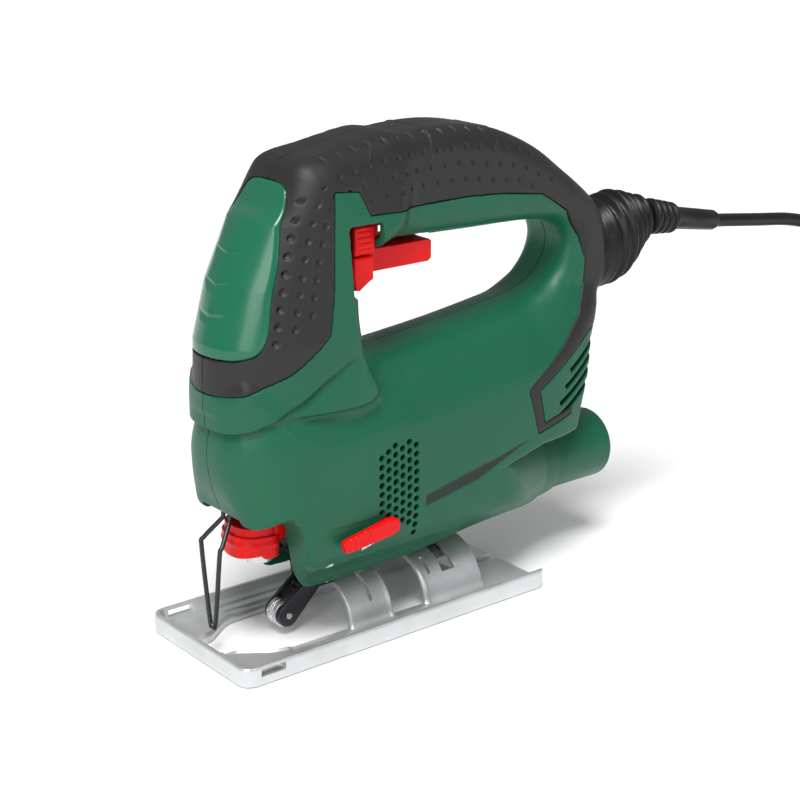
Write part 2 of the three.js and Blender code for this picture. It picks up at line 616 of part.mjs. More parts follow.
function addFront() {
  const pivot = [LEVER_PIVOT.x, LEVER_PIVOT.z];
  add("blade_release_lever", releaseLever(), RED);
  add("release_lever_pin", bar("y", 1.4, -15, 15, pivot, 14), STEEL, "steel");
  add("guide_block", guideBlock(), BLACK);
  add("roller_fork", rollerFork(), BLACK, "steel");
  add("fork_pin", bar("y", 1.4, -9.6, 9.6, [FORK_PIVOT.x, FORK_PIVOT.z], 14), STEEL, "steel");
  const groove = [
    [1.5, -2.9], [5.3, -2.9], [5.3, -0.9], [4.5, -0.5], [4.5, 0.5], [5.3, 0.9], [5.3, 2.9], [1.5, 2.9],
    [1.5, -2.9],
  ].map(([r, y]) => new THREE.Vector2(r, y));
  const roller = new THREE.LatheGeometry(groove, 18).translate(ROLLER.x, 0, ROLLER.z);
  add("guide_roller", solid(roller), STEEL, "steel");
  add("roller_pin", bar("y", 1.1, -5.3, 5.3, [ROLLER.x, ROLLER.z], 12), STEEL, "steel");
  add("wire_guard", wireGuard(), BLACK, "steel");
  const holder = cut(
    box(-61, -57.2, -5, 5, 57, 64.5),
    bar("z", 1.2, 50, 62.4, [-59.5, 2.2], 12),
    bar("z", 1.2, 50, 62.4, [-59.5, -2.2], 12),
  );
  add("guard_holder", holder, BLACK);
}

// ---- Controls -------------------------------------------------------------------------------------
function trigger() {
  const side = [
    [-10.2, 138], [-2, 137.4], [27.5, 137.2], [29, 139], [29, 148.5], [27.5, 149.8], [9, 149.8],
    [9, 157.4], [0, 157.4], [0, 149.3], [-10.2, 149.3],
  ];
  return cut(
    across(side, -13.6, 10),
    box(-12, -2.2, -1, 12, 130, 170),
    box(-2.2, 40, -20, -10, 130, 170),
    box(-12, 40, 5, 20, 149.8, 170),
    box(-12, 40, -20, -5, 149.8, 170),
  );
}

function addControls() {
  add("switch_trigger", trigger(), RED);
  add("lock_button", across([[-10.4, 150.2], [-2.6, 150.2], [-2.6, 160.6], [-10.4, 160.6]], -16.4, -8.2), RED);
  add("switch_module", box(-2, 38, -10, 10, 162.5, 184), BLACK);
  const lever = [
    [-29.2, 44.6], [-28, 43.2], [-8, 43.2], ...arc(-6, 46, 3.8, -60, 80, 5), [-10, 49.4],
    [-28, 48],
  ];
  const knob = union(across(lever, -33.4, -30.4), bar("y", 3, -31, -24.6, [-6, 46], 16));
  add("orbital_lever", knob, RED);
}

// ---- Dust tube, cord boot, cord, coil and plug ----------------------------------------------------
// The cord's free run from the boot to the top of the coil. Its exit is the first point.
const CORD_ROUTE = [
  [203.9, 0, 130.2], [232, 0, 126.6], [256, 0, 123.4], [275, -1, 118], [290, -4, 108.3],
  [302, -9, 95], [311.5, -15, 80.5], [320, -21, 66], [329, -27, 53], [343.5, -32.4, 41.3],
];
const PLUG = { x: COIL.x + 36.6, y: -27.8, turn: 20 };

function cordSleeve() {
  const profile = [
    [3.3, 0], [9, 0], [9, 3], [8, 4.4], [8.6, 7], [7.4, 8.6], [7.6, 11.6], [6.6, 13], [6.6, 17],
    [5, 19], [4.2, 44.6], [3.3, 44.6], [3.3, 0],
  ].map(([radius, x]) => new THREE.Vector2(radius, x));
  const turned = new THREE.LatheGeometry(profile, 16).rotateZ(-Math.PI / 2);
  return solid(turned.rotateY(THREE.MathUtils.degToRad(10)).translate(158.9, 0, 138.2));
}

function cordTube() {
  const path = new THREE.CatmullRomCurve3(CORD_ROUTE.map((p) => new THREE.Vector3(...p)), false, "centripetal");
  const points = arc(0, 0, CORD_DIAMETER / 2, 0, 315, 7).map(([u, v]) => new THREE.Vector2(u, v));
  return new THREE.ExtrudeGeometry(new THREE.Shape(points), { steps: 18, extrudePath: path, bevelEnabled: false });
}

function coilRing() {
  const { inner, outer, bottom, top } = COIL;
  const soft = 4;
  const profile = [
    [inner + soft, bottom], [outer - soft, bottom], [outer, bottom + soft], [outer, top - soft],
    [outer - soft, top], [inner + soft, top], [inner, top - soft], [inner, bottom + soft],
    [inner + soft, bottom],
  ].map(([radius, z]) => new THREE.Vector2(radius, z));
  return solid(new THREE.LatheGeometry(profile, 28).rotateX(Math.PI / 2).translate(COIL.x, 0, 0));
}

/** The band that holds the coil together, on the side away from the cord's end. */
function coilTie() {
  const { inner, outer, bottom, top } = COIL;
  const near = bottom - TIE_SKIN - GAP;
  const band = box(inner - 1.9, outer + GAP + TIE_SKIN, -5, 5, near, top + TIE_SKIN + GAP);
  const hole = box(inner - 1.2, outer + GAP, -6, 6, bottom - GAP, top + GAP);
  return cut(band, hole).rotate([0, 0, 105]).translate([COIL.x, 0, 0]);
}

function addPlug() {
  const turn = ([x, y]) => {
    const angle = THREE.MathUtils.degToRad(PLUG.turn);
    return [PLUG.x + x * Math.cos(angle) - y * Math.sin(angle), PLUG.y + x * Math.sin(angle) + y * Math.cos(angle)];
  };
  const plan = [
    [0, -4.5], [10, -6], [17, -13], [26, -17.5], [38, -17.5], [38, 17.5], [26, 17.5], [17, 13],
    [10, 6], [0, 4.5],
  ].map(turn);
  add("mains_plug", upward(plan, 0.4, 14.4), BLACK, "rubber");
  for (const [side, name] of [[-1, "left"], [1, "right"]]) {
    const pin = bar("x", 2.4, 38.3, 57, [9.5 * side, 7.4], 16);
    const placed = pin.rotate([0, 0, PLUG.turn]).translate([PLUG.x, PLUG.y, 0]);
    add(`plug_pin_${name}`, placed, STEEL, "steel");
  }
}

function addCord() {
  const tube = sleeve("x", TUBE_RADIUS, TUBE_RADIUS - 1.9, 88, TUBE_END_X, [0, TUBE_Z], 36);
  add("dust_tube", tube, GREEN);
  add("cord_boot", bootShape(0), BLACK, "rubber");
  add("cord_sleeve", cordSleeve(), BLACK, "rubber");
  add("cord", cordTube(), BLACK, "rubber");
  add("cord_coil", coilRing(), BLACK, "rubber");
  add("coil_tie", coilTie(), BLACK);
  addPlug();
}

add("base_plate", basePlate(), STEEL, "steel");
add("clamp_shoe", clampShoe(), STEEL, "steel");
add("clamp_screw", clampScrew(), STEEL, "steel");
addHousing();
addScrews();
addMotor();
addGearTrain();
addFront();
addControls();
addCord();

// The row's origin lies under the middle of the tool's length, from the plate's front to the back.
jigsaw.position.x = (PLATE_LENGTH / 2 - TUBE_END_X) / 2;
export default jigsaw;
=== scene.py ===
"""A compact corded jigsaw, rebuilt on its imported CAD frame.

Shapes are drawn in millimetres with X = 0 at the middle of the base plate, as the CAD is, and moved to
the row's frame as they are made. Moulded and pressed pieces are signed-distance fields turned into
meshes by dual contouring; turned and wound pieces are lathes and swept tubes.
"""
import math

import bpy
import numpy as np
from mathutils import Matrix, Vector


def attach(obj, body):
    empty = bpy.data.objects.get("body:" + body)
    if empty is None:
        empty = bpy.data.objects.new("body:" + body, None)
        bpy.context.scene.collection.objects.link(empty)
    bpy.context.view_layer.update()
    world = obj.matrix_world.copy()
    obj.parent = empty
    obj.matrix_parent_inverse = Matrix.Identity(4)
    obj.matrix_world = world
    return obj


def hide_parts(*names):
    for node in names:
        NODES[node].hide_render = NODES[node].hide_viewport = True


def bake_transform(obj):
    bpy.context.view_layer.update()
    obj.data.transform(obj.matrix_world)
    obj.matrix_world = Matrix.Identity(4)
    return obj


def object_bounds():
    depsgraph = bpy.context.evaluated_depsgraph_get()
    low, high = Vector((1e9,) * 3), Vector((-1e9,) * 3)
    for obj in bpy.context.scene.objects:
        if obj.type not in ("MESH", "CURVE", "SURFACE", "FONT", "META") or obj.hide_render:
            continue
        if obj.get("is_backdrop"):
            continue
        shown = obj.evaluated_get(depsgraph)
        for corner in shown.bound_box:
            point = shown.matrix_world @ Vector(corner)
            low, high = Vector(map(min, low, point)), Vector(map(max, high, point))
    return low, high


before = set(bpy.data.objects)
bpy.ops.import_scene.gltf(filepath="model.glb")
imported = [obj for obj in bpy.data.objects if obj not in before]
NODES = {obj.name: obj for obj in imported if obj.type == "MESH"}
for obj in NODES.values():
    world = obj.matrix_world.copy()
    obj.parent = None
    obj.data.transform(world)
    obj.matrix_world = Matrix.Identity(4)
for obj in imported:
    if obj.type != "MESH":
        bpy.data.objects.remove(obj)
cad_box = [list(corner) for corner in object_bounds()]
SHIFT = -26.85  # from the drawing's X to the row's X, in mm


def at(x, y, z):
    return ((x + SHIFT) / 1000, y / 1000, z / 1000)


def rows(points):
    return (np.asarray(points, float) + [SHIFT, 0, 0]) / 1000


def add_object(name, data):
    made = bpy.data.objects.new(name, data)
    bpy.context.scene.collection.objects.link(made)
    return made


# ---- Camera -------------------------------------------------------------------------------------
def make_camera():
    data = bpy.data.cameras.new("camera")
    data.lens = 80.1
    data.sensor_width = 36
    data.clip_start = 0.01
    camera = add_object("camera", data)
    azimuth, elevation, distance = math.radians(-38.64), math.radians(18.33), 0.70513
    back = Vector((
        math.sin(azimuth) * math.cos(elevation),
        -math.cos(azimuth) * math.cos(elevation),
        math.sin(elevation),
    ))
    camera.location = Vector(at(23.53, 0, 82.62)) + back * distance
    camera.rotation_mode = "QUATERNION"
    camera.rotation_quaternion = (-back).to_track_quat("-Z", "Y")
    bpy.context.scene.camera = camera


make_camera()


# ---- Materials ----------------------------------------------------------------------------------
class Shader:
    """A Principled material with a few chained helpers."""

    def __init__(self, name, color, rough=0.5, metal=0.0, **sockets):
        self.material = bpy.data.materials.new(name)
        self.material.use_nodes = True
        self.tree = self.material.node_tree
        self.main = self.tree.nodes["Principled BSDF"]
        self.main.inputs["Base Color"].default_value = (*color, 1)
        self.main.inputs["Roughness"].default_value = rough
        self.main.inputs["Metallic"].default_value = metal
        for key, value in sockets.items():
            self.main.inputs[key.replace("_", " ")].default_value = value
        self.color = color
        self.rough = rough
        self.where = self.node("ShaderNodeTexCoord").outputs["Object"]

    def node(self, kind, **values):
        made = self.tree.nodes.new(kind)
        for key, value in values.items():
            if key in made.inputs:
                made.inputs[key].default_value = value
            else:
                setattr(made, key, value)
        return made

    def link(self, out, into):
        self.tree.links.new(out, into)

    def noise(self, scale, detail=3.0, rough=0.5, stretch=None):
        made = self.node("ShaderNodeTexNoise", Scale=scale, Detail=detail, Roughness=rough)
        where = self.where
        if stretch:
            mapping = self.node("ShaderNodeMapping")
            mapping.inputs["Scale"].default_value = stretch
            self.link(where, mapping.inputs["Vector"])
            where = mapping.outputs["Vector"]
        self.link(where, made.inputs["Vector"])
        return made.outputs["Fac"]

    def ramp(self, fac, stops):
        made = self.node("ShaderNodeValToRGB")
        while len(made.color_ramp.elements) < len(stops):
            made.color_ramp.elements.new(0.5)
        for element, (place, color) in zip(made.color_ramp.elements, stops):
            element.position = place
            element.color = (*color, 1) if len(color) == 3 else color
        self.link(fac, made.inputs["Fac"])
        return made.outputs["Color"]

    def span(self, fac, low, high, into_low=0.0, into_high=1.0):
        made = self.node("ShaderNodeMapRange")
        for socket, value in zip(made.inputs[1:5], (low, high, into_low, into_high)):
            socket.default_value = value
        self.link(fac, made.inputs[0])
        return made.outputs[0]

    def blend(self, fac, first, second, kind="MIX"):
        made = self.node("ShaderNodeMix", data_type="RGBA", blend_type=kind)
        for value, socket in ((fac, made.inputs[0]), (first, made.inputs[6]), (second, made.inputs[7])):
            if isinstance(value, bpy.types.NodeSocket):
                self.link(value, socket)
            else:
                socket.default_value = value if isinstance(value, (int, float)) else (*value, 1)
        return made.outputs[2]

    def bump(self, height, strength=0.2, distance=0.0002):
        made = self.node("ShaderNodeBump", Strength=strength, Distance=distance)
        self.link(height, made.inputs["Height"])
        before = self.main.inputs["Normal"]
        if before.is_linked:
            self.link(before.links[0].from_socket, made.inputs["Normal"])
        self.link(made.outputs["Normal"], before)
        return self

    def mottle(self, scale=30, amount=0.12):
        """Slow drifts in the colour, as in any moulded or coated surface."""
        dark = tuple(c * (1 - amount) for c in self.color)
        light = tuple(min(1, c * (1 + amount)) for c in self.color)
        color = self.ramp(self.noise(scale, 4), [(0.3, dark), (0.7, light)])
        self.link(color, self.main.inputs["Base Color"])
        return self

    def vary(self, scale=60, spread=0.08):
        low, high = max(0.02, self.rough - spread), min(1, self.rough + spread)
        value = self.span(self.noise(scale, 5), 0.3, 0.7, low, high)
        self.link(value, self.main.inputs["Roughness"])
        return self

    def masked(self, layer, color):
        """Paints another colour where a mesh attribute says so."""
        mask = self.node("ShaderNodeAttribute", attribute_name=layer).outputs["Fac"]
        now = self.main.inputs["Base Color"]
        base = now.links[0].from_socket if now.is_linked else self.color
        self.link(self.blend(mask, base, color), now)
        return self


def plastic(name, color, rough, grain=0.25, scale=2600, **sockets):
    made = Shader(name, color, rough, **sockets).mottle(18, 0.07).vary(50, 0.05)
    return made.bump(made.noise(scale, 2), grain, 0.00012)


def metal(name, color, rough, grain=0.12, stretch=(1, 30, 30), **sockets):
    made = Shader(name, color, rough, 1.0, **sockets).mottle(40, 0.08).vary(90, 0.09)
    return made.bump(made.noise(400, 3, 0.6, stretch), grain, 0.0001)


GREEN = plastic("green_plastic", (0.006, 0.094, 0.048), 0.4, 0.22, 2200, Specular_IOR_Level=0.3)
GREEN.masked("mark", (0.008, 0.016, 0.014))
GLOSS = plastic("green_gloss", (0.006, 0.115, 0.058), 0.24, 0.04, 900, Specular_IOR_Level=0.35,
                Coat_Weight=0.25, Coat_Roughness=0.12)
GRIP = plastic("soft_grip", (0.016, 0.015, 0.0155), 0.48, 0.45, 3000, Specular_IOR_Level=0.34)
RUBBER = plastic("black_rubber", (0.005, 0.005, 0.0055), 0.4, 0.3, 2600, Specular_IOR_Level=0.3)
BLACK = plastic("black_plastic", (0.006, 0.006, 0.0065), 0.38, 0.2, 2400, Specular_IOR_Level=0.3)
RED = plastic("red_plastic", (0.68, 0.002, 0.003), 0.36, 0.12, 1800, Specular_IOR_Level=0.22)
WHITE = plastic("white_print", (0.75, 0.76, 0.75), 0.5, 0.1, 2000)
PLATE = metal("plate_steel", (0.62, 0.635, 0.64), 0.42, 0.1, (1, 1, 1))
PLATE.main.inputs["Metallic"].default_value = 0.72
PLATE.bump(PLATE.noise(140, 4, 0.6), 0.4, 0.0006)
STEEL = metal("steel", (0.6, 0.61, 0.63), 0.28)
DARKSTEEL = metal("black_steel", (0.06, 0.06, 0.065), 0.38)
LAMINATE = metal("lamination", (0.22, 0.22, 0.24), 0.5, 0.6, (60, 1, 1))
CASTING = metal("magnesium", (0.5, 0.51, 0.52), 0.55, 0.4, (1, 1, 1))
COPPER = metal("copper", (0.66, 0.29, 0.12), 0.35, 0.5, (30, 4, 4))
BRONZE = metal("bronze", (0.45, 0.3, 0.13), 0.45)
CARBON = plastic("carbon", (0.02, 0.02, 0.022), 0.65, 0.5, 1500)


# ---- Signed-distance fields ---------------------------------------------------------------------
def smooth(points, steps=160):
    """A closed smooth curve through points (centripetal Catmull-Rom)."""
    p = np.asarray(points, float)
    n = len(p)
    out = []
    for i in range(n):
        a, b, c, d = p[i - 1], p[i], p[(i + 1) % n], p[(i + 2) % n]
        t = np.cumsum([0, *[max(1e-6, np.linalg.norm(w - v) ** 0.5) for v, w in ((a, b), (b, c), (c, d))]])
        count = max(3, round(steps / n))
        for s in np.linspace(t[1], t[2], count, endpoint=False):
            a1 = a * (t[1] - s) / (t[1] - t[0]) + b * (s - t[0]) / (t[1] - t[0])
            a2 = b * (t[2] - s) / (t[2] - t[1]) + c * (s - t[1]) / (t[2] - t[1])
            a3 = c * (t[3] - s) / (t[3] - t[2]) + d * (s - t[2]) / (t[3] - t[2])
            b1 = a1 * (t[2] - s) / (t[2] - t[0]) + a2 * (s - t[0]) / (t[2] - t[0])
            b2 = a2 * (t[3] - s) / (t[3] - t[1]) + a3 * (s - t[1]) / (t[3] - t[1])
            out.append(b1 * (t[2] - s) / (t[2] - t[1]) + b2 * (s - t[1]) / (t[2] - t[1]))
    return np.array(out)


class Outline:
    """Signed distance to a closed outline, negative inside, looked up in a table."""

    def __init__(self, points, pad=8, step=0.5):
        p = np.asarray(points, float)
        self.low = p.min(0) - pad
        self.step = step
        size = np.ceil((p.max(0) + pad - self.low) / step).astype(int) + 1
        u = (self.low[0] + step * np.arange(size[0]))[:, None]
        v = (self.low[1] + step * np.arange(size[1]))[None, :]
        best = np.full(tuple(size), 1e9)
        inside = np.zeros(tuple(size), bool)
        for (au, av), (bu, bv) in zip(p, np.roll(p, -1, 0)):
            du, dv = bu - au, bv - av
            length = du * du + dv * dv
            if length < 1e-12:
                continue
            t = np.clip(((u - au) * du + (v - av) * dv) / length, 0, 1)
            best = np.minimum(best, (u - au - t * du) ** 2 + (v - av - t * dv) ** 2)
            if abs(dv) > 1e-12:
                crosses = ((av > v) != (bv > v)) & (u < du * (v - av) / dv + au)
                inside ^= crosses
        self.table = (np.sqrt(best) * np.where(inside, -1, 1)).astype(np.float32)

    def __call__(self, u, v):
        n, m = self.table.shape
        i = (u - self.low[0]) / self.step
        j = (v - self.low[1]) / self.step
        ic, jc = np.clip(i, 0, n - 1.001), np.clip(j, 0, m - 1.001)
        a, b = ic.astype(np.int32), jc.astype(np.int32)
        fu, fv = ic - a, jc - b
        t = self.table
        low = t[a, b] * (1 - fv) + t[a, b + 1] * fv
        high = t[a + 1, b] * (1 - fv) + t[a + 1, b + 1] * fv
        return low * (1 - fu) + high * fu + self.step * np.hypot(i - ic, j - jc)


def fuse(a, b, k):
    """Union with a round fillet of radius about k."""
    if k <= 0:
        return np.minimum(a, b)
    u, v = np.maximum(k - a, 0), np.maximum(k - b, 0)
    return np.maximum(k, np.minimum(a, b)) - np.hypot(u, v)


def meet(a, b, k=0.0):
    """Intersection with a rounded edge of radius k."""
    if k <= 0:
        return np.maximum(a, b)
    u, v = np.maximum(k + a, 0), np.maximum(k + b, 0)
    return np.minimum(-k, np.maximum(a, b)) + np.hypot(u, v)


def carve(a, b, k=0.0):
    return meet(a, -b, k)


def slab(u, low, high):
    return np.abs(u - (low + high) / 2) - (high - low) / 2


def block(x, y, z, bx, by, bz, r=0.5):
    """A box with rounded edges, from its three spans."""
    q = [slab(x, *bx) + r, slab(y, *by) + r, slab(z, *bz) + r]
    outside = np.sqrt(sum(np.maximum(w, 0) ** 2 for w in q))
    return outside + np.minimum(np.maximum(q[0], np.maximum(q[1], q[2])), 0) - r


def rod(u, v, w, cu, cv, radius, span, r=0.4):
    """A round bar along w with rounded ends."""
    return meet(np.hypot(u - cu, v - cv) - radius, slab(w, *span), r)


def capsule(x, y, z, a, b, ra, rb=None):
    """A rod between two points with ball ends, its radius running from ra to rb."""
    rb = ra if rb is None else rb
    d = np.subtract(b, a)
    t = np.clip(((x - a[0]) * d[0] + (y - a[1]) * d[1] + (z - a[2]) * d[2]) / d.dot(d), 0, 1)
    far = np.sqrt((x - a[0] - t * d[0]) ** 2 + (y - a[1] - t * d[1]) ** 2 + (z - a[2] - t * d[2]) ** 2)
    return far - (ra + (rb - ra) * t)


def contour(field, low, high, cell):
    """Dual contouring of a field inside a box, worked out only near the surface."""
    block_size = 4
    low = np.asarray(low, float) - cell
    count = np.ceil((np.asarray(high, float) + cell - low) / (cell * block_size)).astype(int)
    shape = count * block_size + 1
    big = cell * block_size
    centres = [low[k] + big * (np.arange(count[k]) + 0.5) for k in range(3)]
    grid = np.meshgrid(*centres, indexing="ij")
    rough = field(*[g.ravel() for g in grid]).reshape(tuple(count))
    near = np.abs(rough) < big * 1.25
    values = np.ones(tuple(shape), np.float32)
    sign = np.repeat(np.repeat(np.repeat(np.where(rough < 0, -1, 1), 4, 0), 4, 1), 4, 2)
    values[:-1, :-1, :-1] = sign
    wanted = np.zeros(tuple(shape), bool)
    spread = np.repeat(np.repeat(np.repeat(near, 4, 0), 4, 1), 4, 2)
    for dx in (0, 1):
        for dy in (0, 1):
            for dz in (0, 1):
                wanted[dx:dx + spread.shape[0], dy:dy + spread.shape[1], dz:dz + spread.shape[2]] |= spread
    where = np.argwhere(wanted)
    parts = []
    for some in np.array_split(where, max(1, len(where) // 400000)):
        p = low + cell * some
        parts.append(field(p[:, 0], p[:, 1], p[:, 2]))
    values[tuple(where.T)] = np.concatenate(parts)
    inside = values < 0

    owners, points, flips = [], [], []
    for axis in range(3):
        a = [slice(None)] * 3
        b = [slice(None)] * 3
        a[axis], b[axis] = slice(0, -1), slice(1, None)
        i = np.argwhere(inside[tuple(a)] != inside[tuple(b)])
        other = [k for k in range(3) if k != axis]
        i = i[(i[:, other[0]] > 0) & (i[:, other[1]] > 0)]
        i = i[(i[:, other[0]] < shape[other[0]] - 1) & (i[:, other[1]] < shape[other[1]] - 1)]
        step = np.zeros(3, int)
        step[axis] = 1
        va, vb = values[tuple(i.T)], values[tuple((i + step).T)]
        t = va / (va - vb)
        points.append(low + cell * (i + t[:, None] * step))
        flips.append((va < 0) ^ (axis == 1))
        e, f = np.zeros(3, int), np.zeros(3, int)
        e[other[0]], f[other[1]] = 1, 1
        owners.append(np.stack([i - e - f, i - f, i, i - e], 1))
    points, flips, owners = np.concatenate(points), np.concatenate(flips), np.concatenate(owners)
    eps = cell * 0.12
    normal = np.empty_like(points)
    for k in range(3):
        d = np.zeros(3)
        d[k] = eps
        normal[:, k] = field(*(points + d).T) - field(*(points - d).T)
    normal /= np.maximum(np.linalg.norm(normal, axis=1, keepdims=True), 1e-9)

    flat = np.ravel_multi_index(owners.reshape(-1, 3).T, tuple(shape))
    cells, index = np.unique(flat, return_inverse=True)
    index = index.reshape(-1)
    total = len(cells)
    p4, n4 = np.repeat(points, 4, 0), np.repeat(normal, 4, 0)
    number = np.bincount(index, minlength=total)
    mean = np.stack([np.bincount(index, p4[:, k], total) / number for k in range(3)], 1)
    offset = np.einsum("ij,ij->i", n4, p4 - mean[index])
    matrix = np.empty((total, 3, 3))
    for r in range(3):
        for c in range(r, 3):
            matrix[:, r, c] = matrix[:, c, r] = np.bincount(index, n4[:, r] * n4[:, c], total)
        matrix[:, r, r] += 0.06 * number
    right = np.stack([np.bincount(index, n4[:, k] * offset, total) for k in range(3)], 1)
    move = np.linalg.solve(matrix, right[:, :, None])[:, :, 0]
    verts = mean + np.clip(move, -cell * 0.8, cell * 0.8)
    quads = index.reshape(-1, 4).copy()
    quads[~flips] = quads[~flips][:, ::-1]
    return verts, quads


def mesh_object(name, verts, faces, material, sharp=32):
    mesh = bpy.data.meshes.new(name)
    verts = rows(verts)
    if isinstance(faces, np.ndarray):
        mesh.vertices.add(len(verts))
        mesh.vertices.foreach_set("co", verts.astype(np.float32).ravel())
        width = faces.shape[1]
        mesh.loops.add(faces.size)
        mesh.loops.foreach_set("vertex_index", faces.astype(np.int32).ravel())
        mesh.polygons.add(len(faces))
        mesh.polygons.foreach_set("loop_start", np.arange(0, faces.size, width, dtype=np.int32))
        mesh.update(calc_edges=True)
        mesh.validate()
    else:
        mesh.from_pydata([tuple(v) for v in verts], [], faces)
    mesh.shade_smooth()
    mesh.set_sharp_from_angle(angle=math.radians(sharp))
    mesh.materials.append(material.material)
    return add_object(name, mesh)


def paint(obj, layer, value):
    """Stores a number for each vertex, from a function of the drawing's coordinates."""
    mesh = obj.data
    co = np.empty(len(mesh.vertices) * 3, np.float32)
    mesh.vertices.foreach_get("co", co)
    p = co.reshape(-1, 3) * 1000 - [SHIFT, 0, 0]
    attribute = mesh.attributes.new(layer, "FLOAT", "POINT")
    attribute.data.foreach_set("value", np.clip(value(p[:, 0], p[:, 1], p[:, 2]), 0, 1).astype(np.float32))


def settle(piece, body, nodes):
    """Makes a piece ride on a body and stand for CAD nodes, if any are named."""
    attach(piece, body)
    if nodes:
        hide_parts(*nodes)
    return piece


def sculpt(name, field, low, high, cell, material, body, *nodes, sharp=32):
    """One moulded or pressed piece, from its field; it stands for the CAD nodes named."""
    cell = cell * 1
    verts, quads = contour(field, low, high, cell)
    made = mesh_object(name, verts, quads, material, sharp)
    return settle(made, body, nodes)


# ---- Lathes and tubes ---------------------------------------------------------------------------
def lathe(name, profile, origin, direction, material, body, *nodes, sides=64, sharp=35):
    """Turns a profile of (distance along, radius) round an axis; closed if the profile closes."""
    d = np.asarray(direction, float)
    d /= np.linalg.norm(d)
    up = np.array([0, 0, 1.0]) if abs(d[2]) < 0.9 else np.array([1.0, 0, 0])
    u = np.cross(up, d)
    u /= np.linalg.norm(u)
    v = np.cross(d, u)
    angle = np.linspace(0, 2 * np.pi, sides, endpoint=False)
    verts, rings = [], []
    closed = np.allclose(profile[0], profile[-1])
    for s, r in (profile[:-1] if closed else profile):
        centre = np.asarray(origin, float) + d * s
        if r < 1e-6:
            rings.append([len(verts)] * sides)
            verts.append(centre)
            continue
        rings.append(list(range(len(verts), len(verts) + sides)))
        for a in angle:
            verts.append(centre + u * (r * math.cos(a)) + v * (r * math.sin(a)))
    faces = []
    for one, two in zip(rings, rings[1:] + rings[:1] * closed):
        for k in range(sides):
            n = (k + 1) % sides
            corners = [one[k], one[n], two[n], two[k]]
            faces.append(tuple(dict.fromkeys(corners)))
    made = mesh_object(name, verts, [f for f in faces if len(f) > 2], material, sharp)
    return settle(made, body, nodes)


def rounded(profile, radius=0.5, steps=4):
    """Rounds the inner corners of an open profile."""
    p = np.asarray(profile, float)
    out = [p[0]]
    for before, here, after in zip(p, p[1:], p[2:]):
        a, b = before - here, after - here
        la, lb = np.linalg.norm(a), np.linalg.norm(b)
        r = min(radius, la * 0.45, lb * 0.45)
        start, end = here + a / la * r, here + b / lb * r
        for t in np.linspace(0, 1, steps + 1):
            out.append((1 - t) ** 2 * start + 2 * t * (1 - t) * here + t * t * end)
    out.append(p[-1])
    return out


# ---- Cord ---------------------------------------------------------------------------------------
CORD_RADIUS = 3.0
CORD_ROUTE = [
    [203.9, 0, 130.2], [232, 0, 126.6], [256, 0, 123.4], [275, -1, 118], [290, -4, 108.3],
    [302, -9, 95], [311.5, -15, 80.5], [320, -21, 66], [329, -27, 53], [343.5, -32.4, 41.3],
]
COIL_X = 356  # the coil's middle
COIL_INNER, COIL_OUTER = 26.75, 38.75  # the centrelines of its inner and outer turns
COIL_LAYERS = 6


def open_curve(points, spacing):
    """Evenly spaced points on a smooth open curve through the given ones."""
    p = np.asarray(points, float)
    p = np.vstack([2 * p[0] - p[1], p, 2 * p[-1] - p[-2]])
    out = []
    for i in range(1, len(p) - 2):
        t = np.linspace(0, 1, 24, endpoint=False)[:, None]
        a, b, c, d = p[i - 1:i + 3]
        square, cube = 2 * a - 5 * b + 4 * c - d, 3 * b - a - 3 * c + d
        out.append(0.5 * (2 * b + (c - a) * t + square * t ** 2 + cube * t ** 3))
    fine = np.vstack([*out, p[-2][None]])
    along = np.concatenate([[0], np.cumsum(np.linalg.norm(np.diff(fine, axis=0), axis=1))])
    want = np.linspace(0, along[-1], max(2, round(along[-1] / spacing) + 1))
    return np.stack([np.interp(want, along, fine[:, k]) for k in range(3)], 1)


def ease(x):
    return 0.5 - 0.5 * math.cos(math.pi * min(max(x, 0), 1))


def coil_turns():
    """The coil's points, layer by layer from the top, and the angle at which it ends."""
    across, turn, points = 2 * CORD_RADIUS, 270.0, []
    for layer in range(COIL_LAYERS):
        z = 4 + across * (COIL_LAYERS - 1 - layer)
        turns = 1.056 if layer == 0 else 2
        first = COIL_INNER + across * turns if layer == 0 else (COIL_INNER if layer % 2 else COIL_OUTER)
        last = COIL_OUTER if layer % 2 else COIL_INNER
        sweep = turns * 360
        for a in np.arange(0, sweep, 10.0):
            height = z
            if layer == 0:
                height += 2.8 * (1 - ease(a / 60))
            elif a < 40:
                height += across * (1 - ease(0.5 + a / 80))
            if layer < COIL_LAYERS - 1 and sweep - a < 40:
                height -= across * ease(0.5 - (sweep - a) / 80)
            radius, t = first + (last - first) * a / sweep, math.radians(turn + a)
            points.append([COIL_X + radius * math.cos(t), radius * math.sin(t), height])
        turn += sweep
    return points, math.radians(turn)


def cord_path():
    turns, end = coil_turns()
    tip = np.array([COIL_X + COIL_OUTER * math.cos(end), COIL_OUTER * math.sin(end), 4.2])
    ahead = np.array([-math.sin(end), math.cos(end), 0])
    tail = [tip + ahead * s + [0, 0, rise] for s, rise in ((0, 0), (12, 1.0), (24, 2.6), (36, 3.2))]
    return open_curve([*CORD_ROUTE, *turns, *tail], 3.2)


path = cord_path()


DOME = 0.72  # how wide a dome's tip is, against its tube


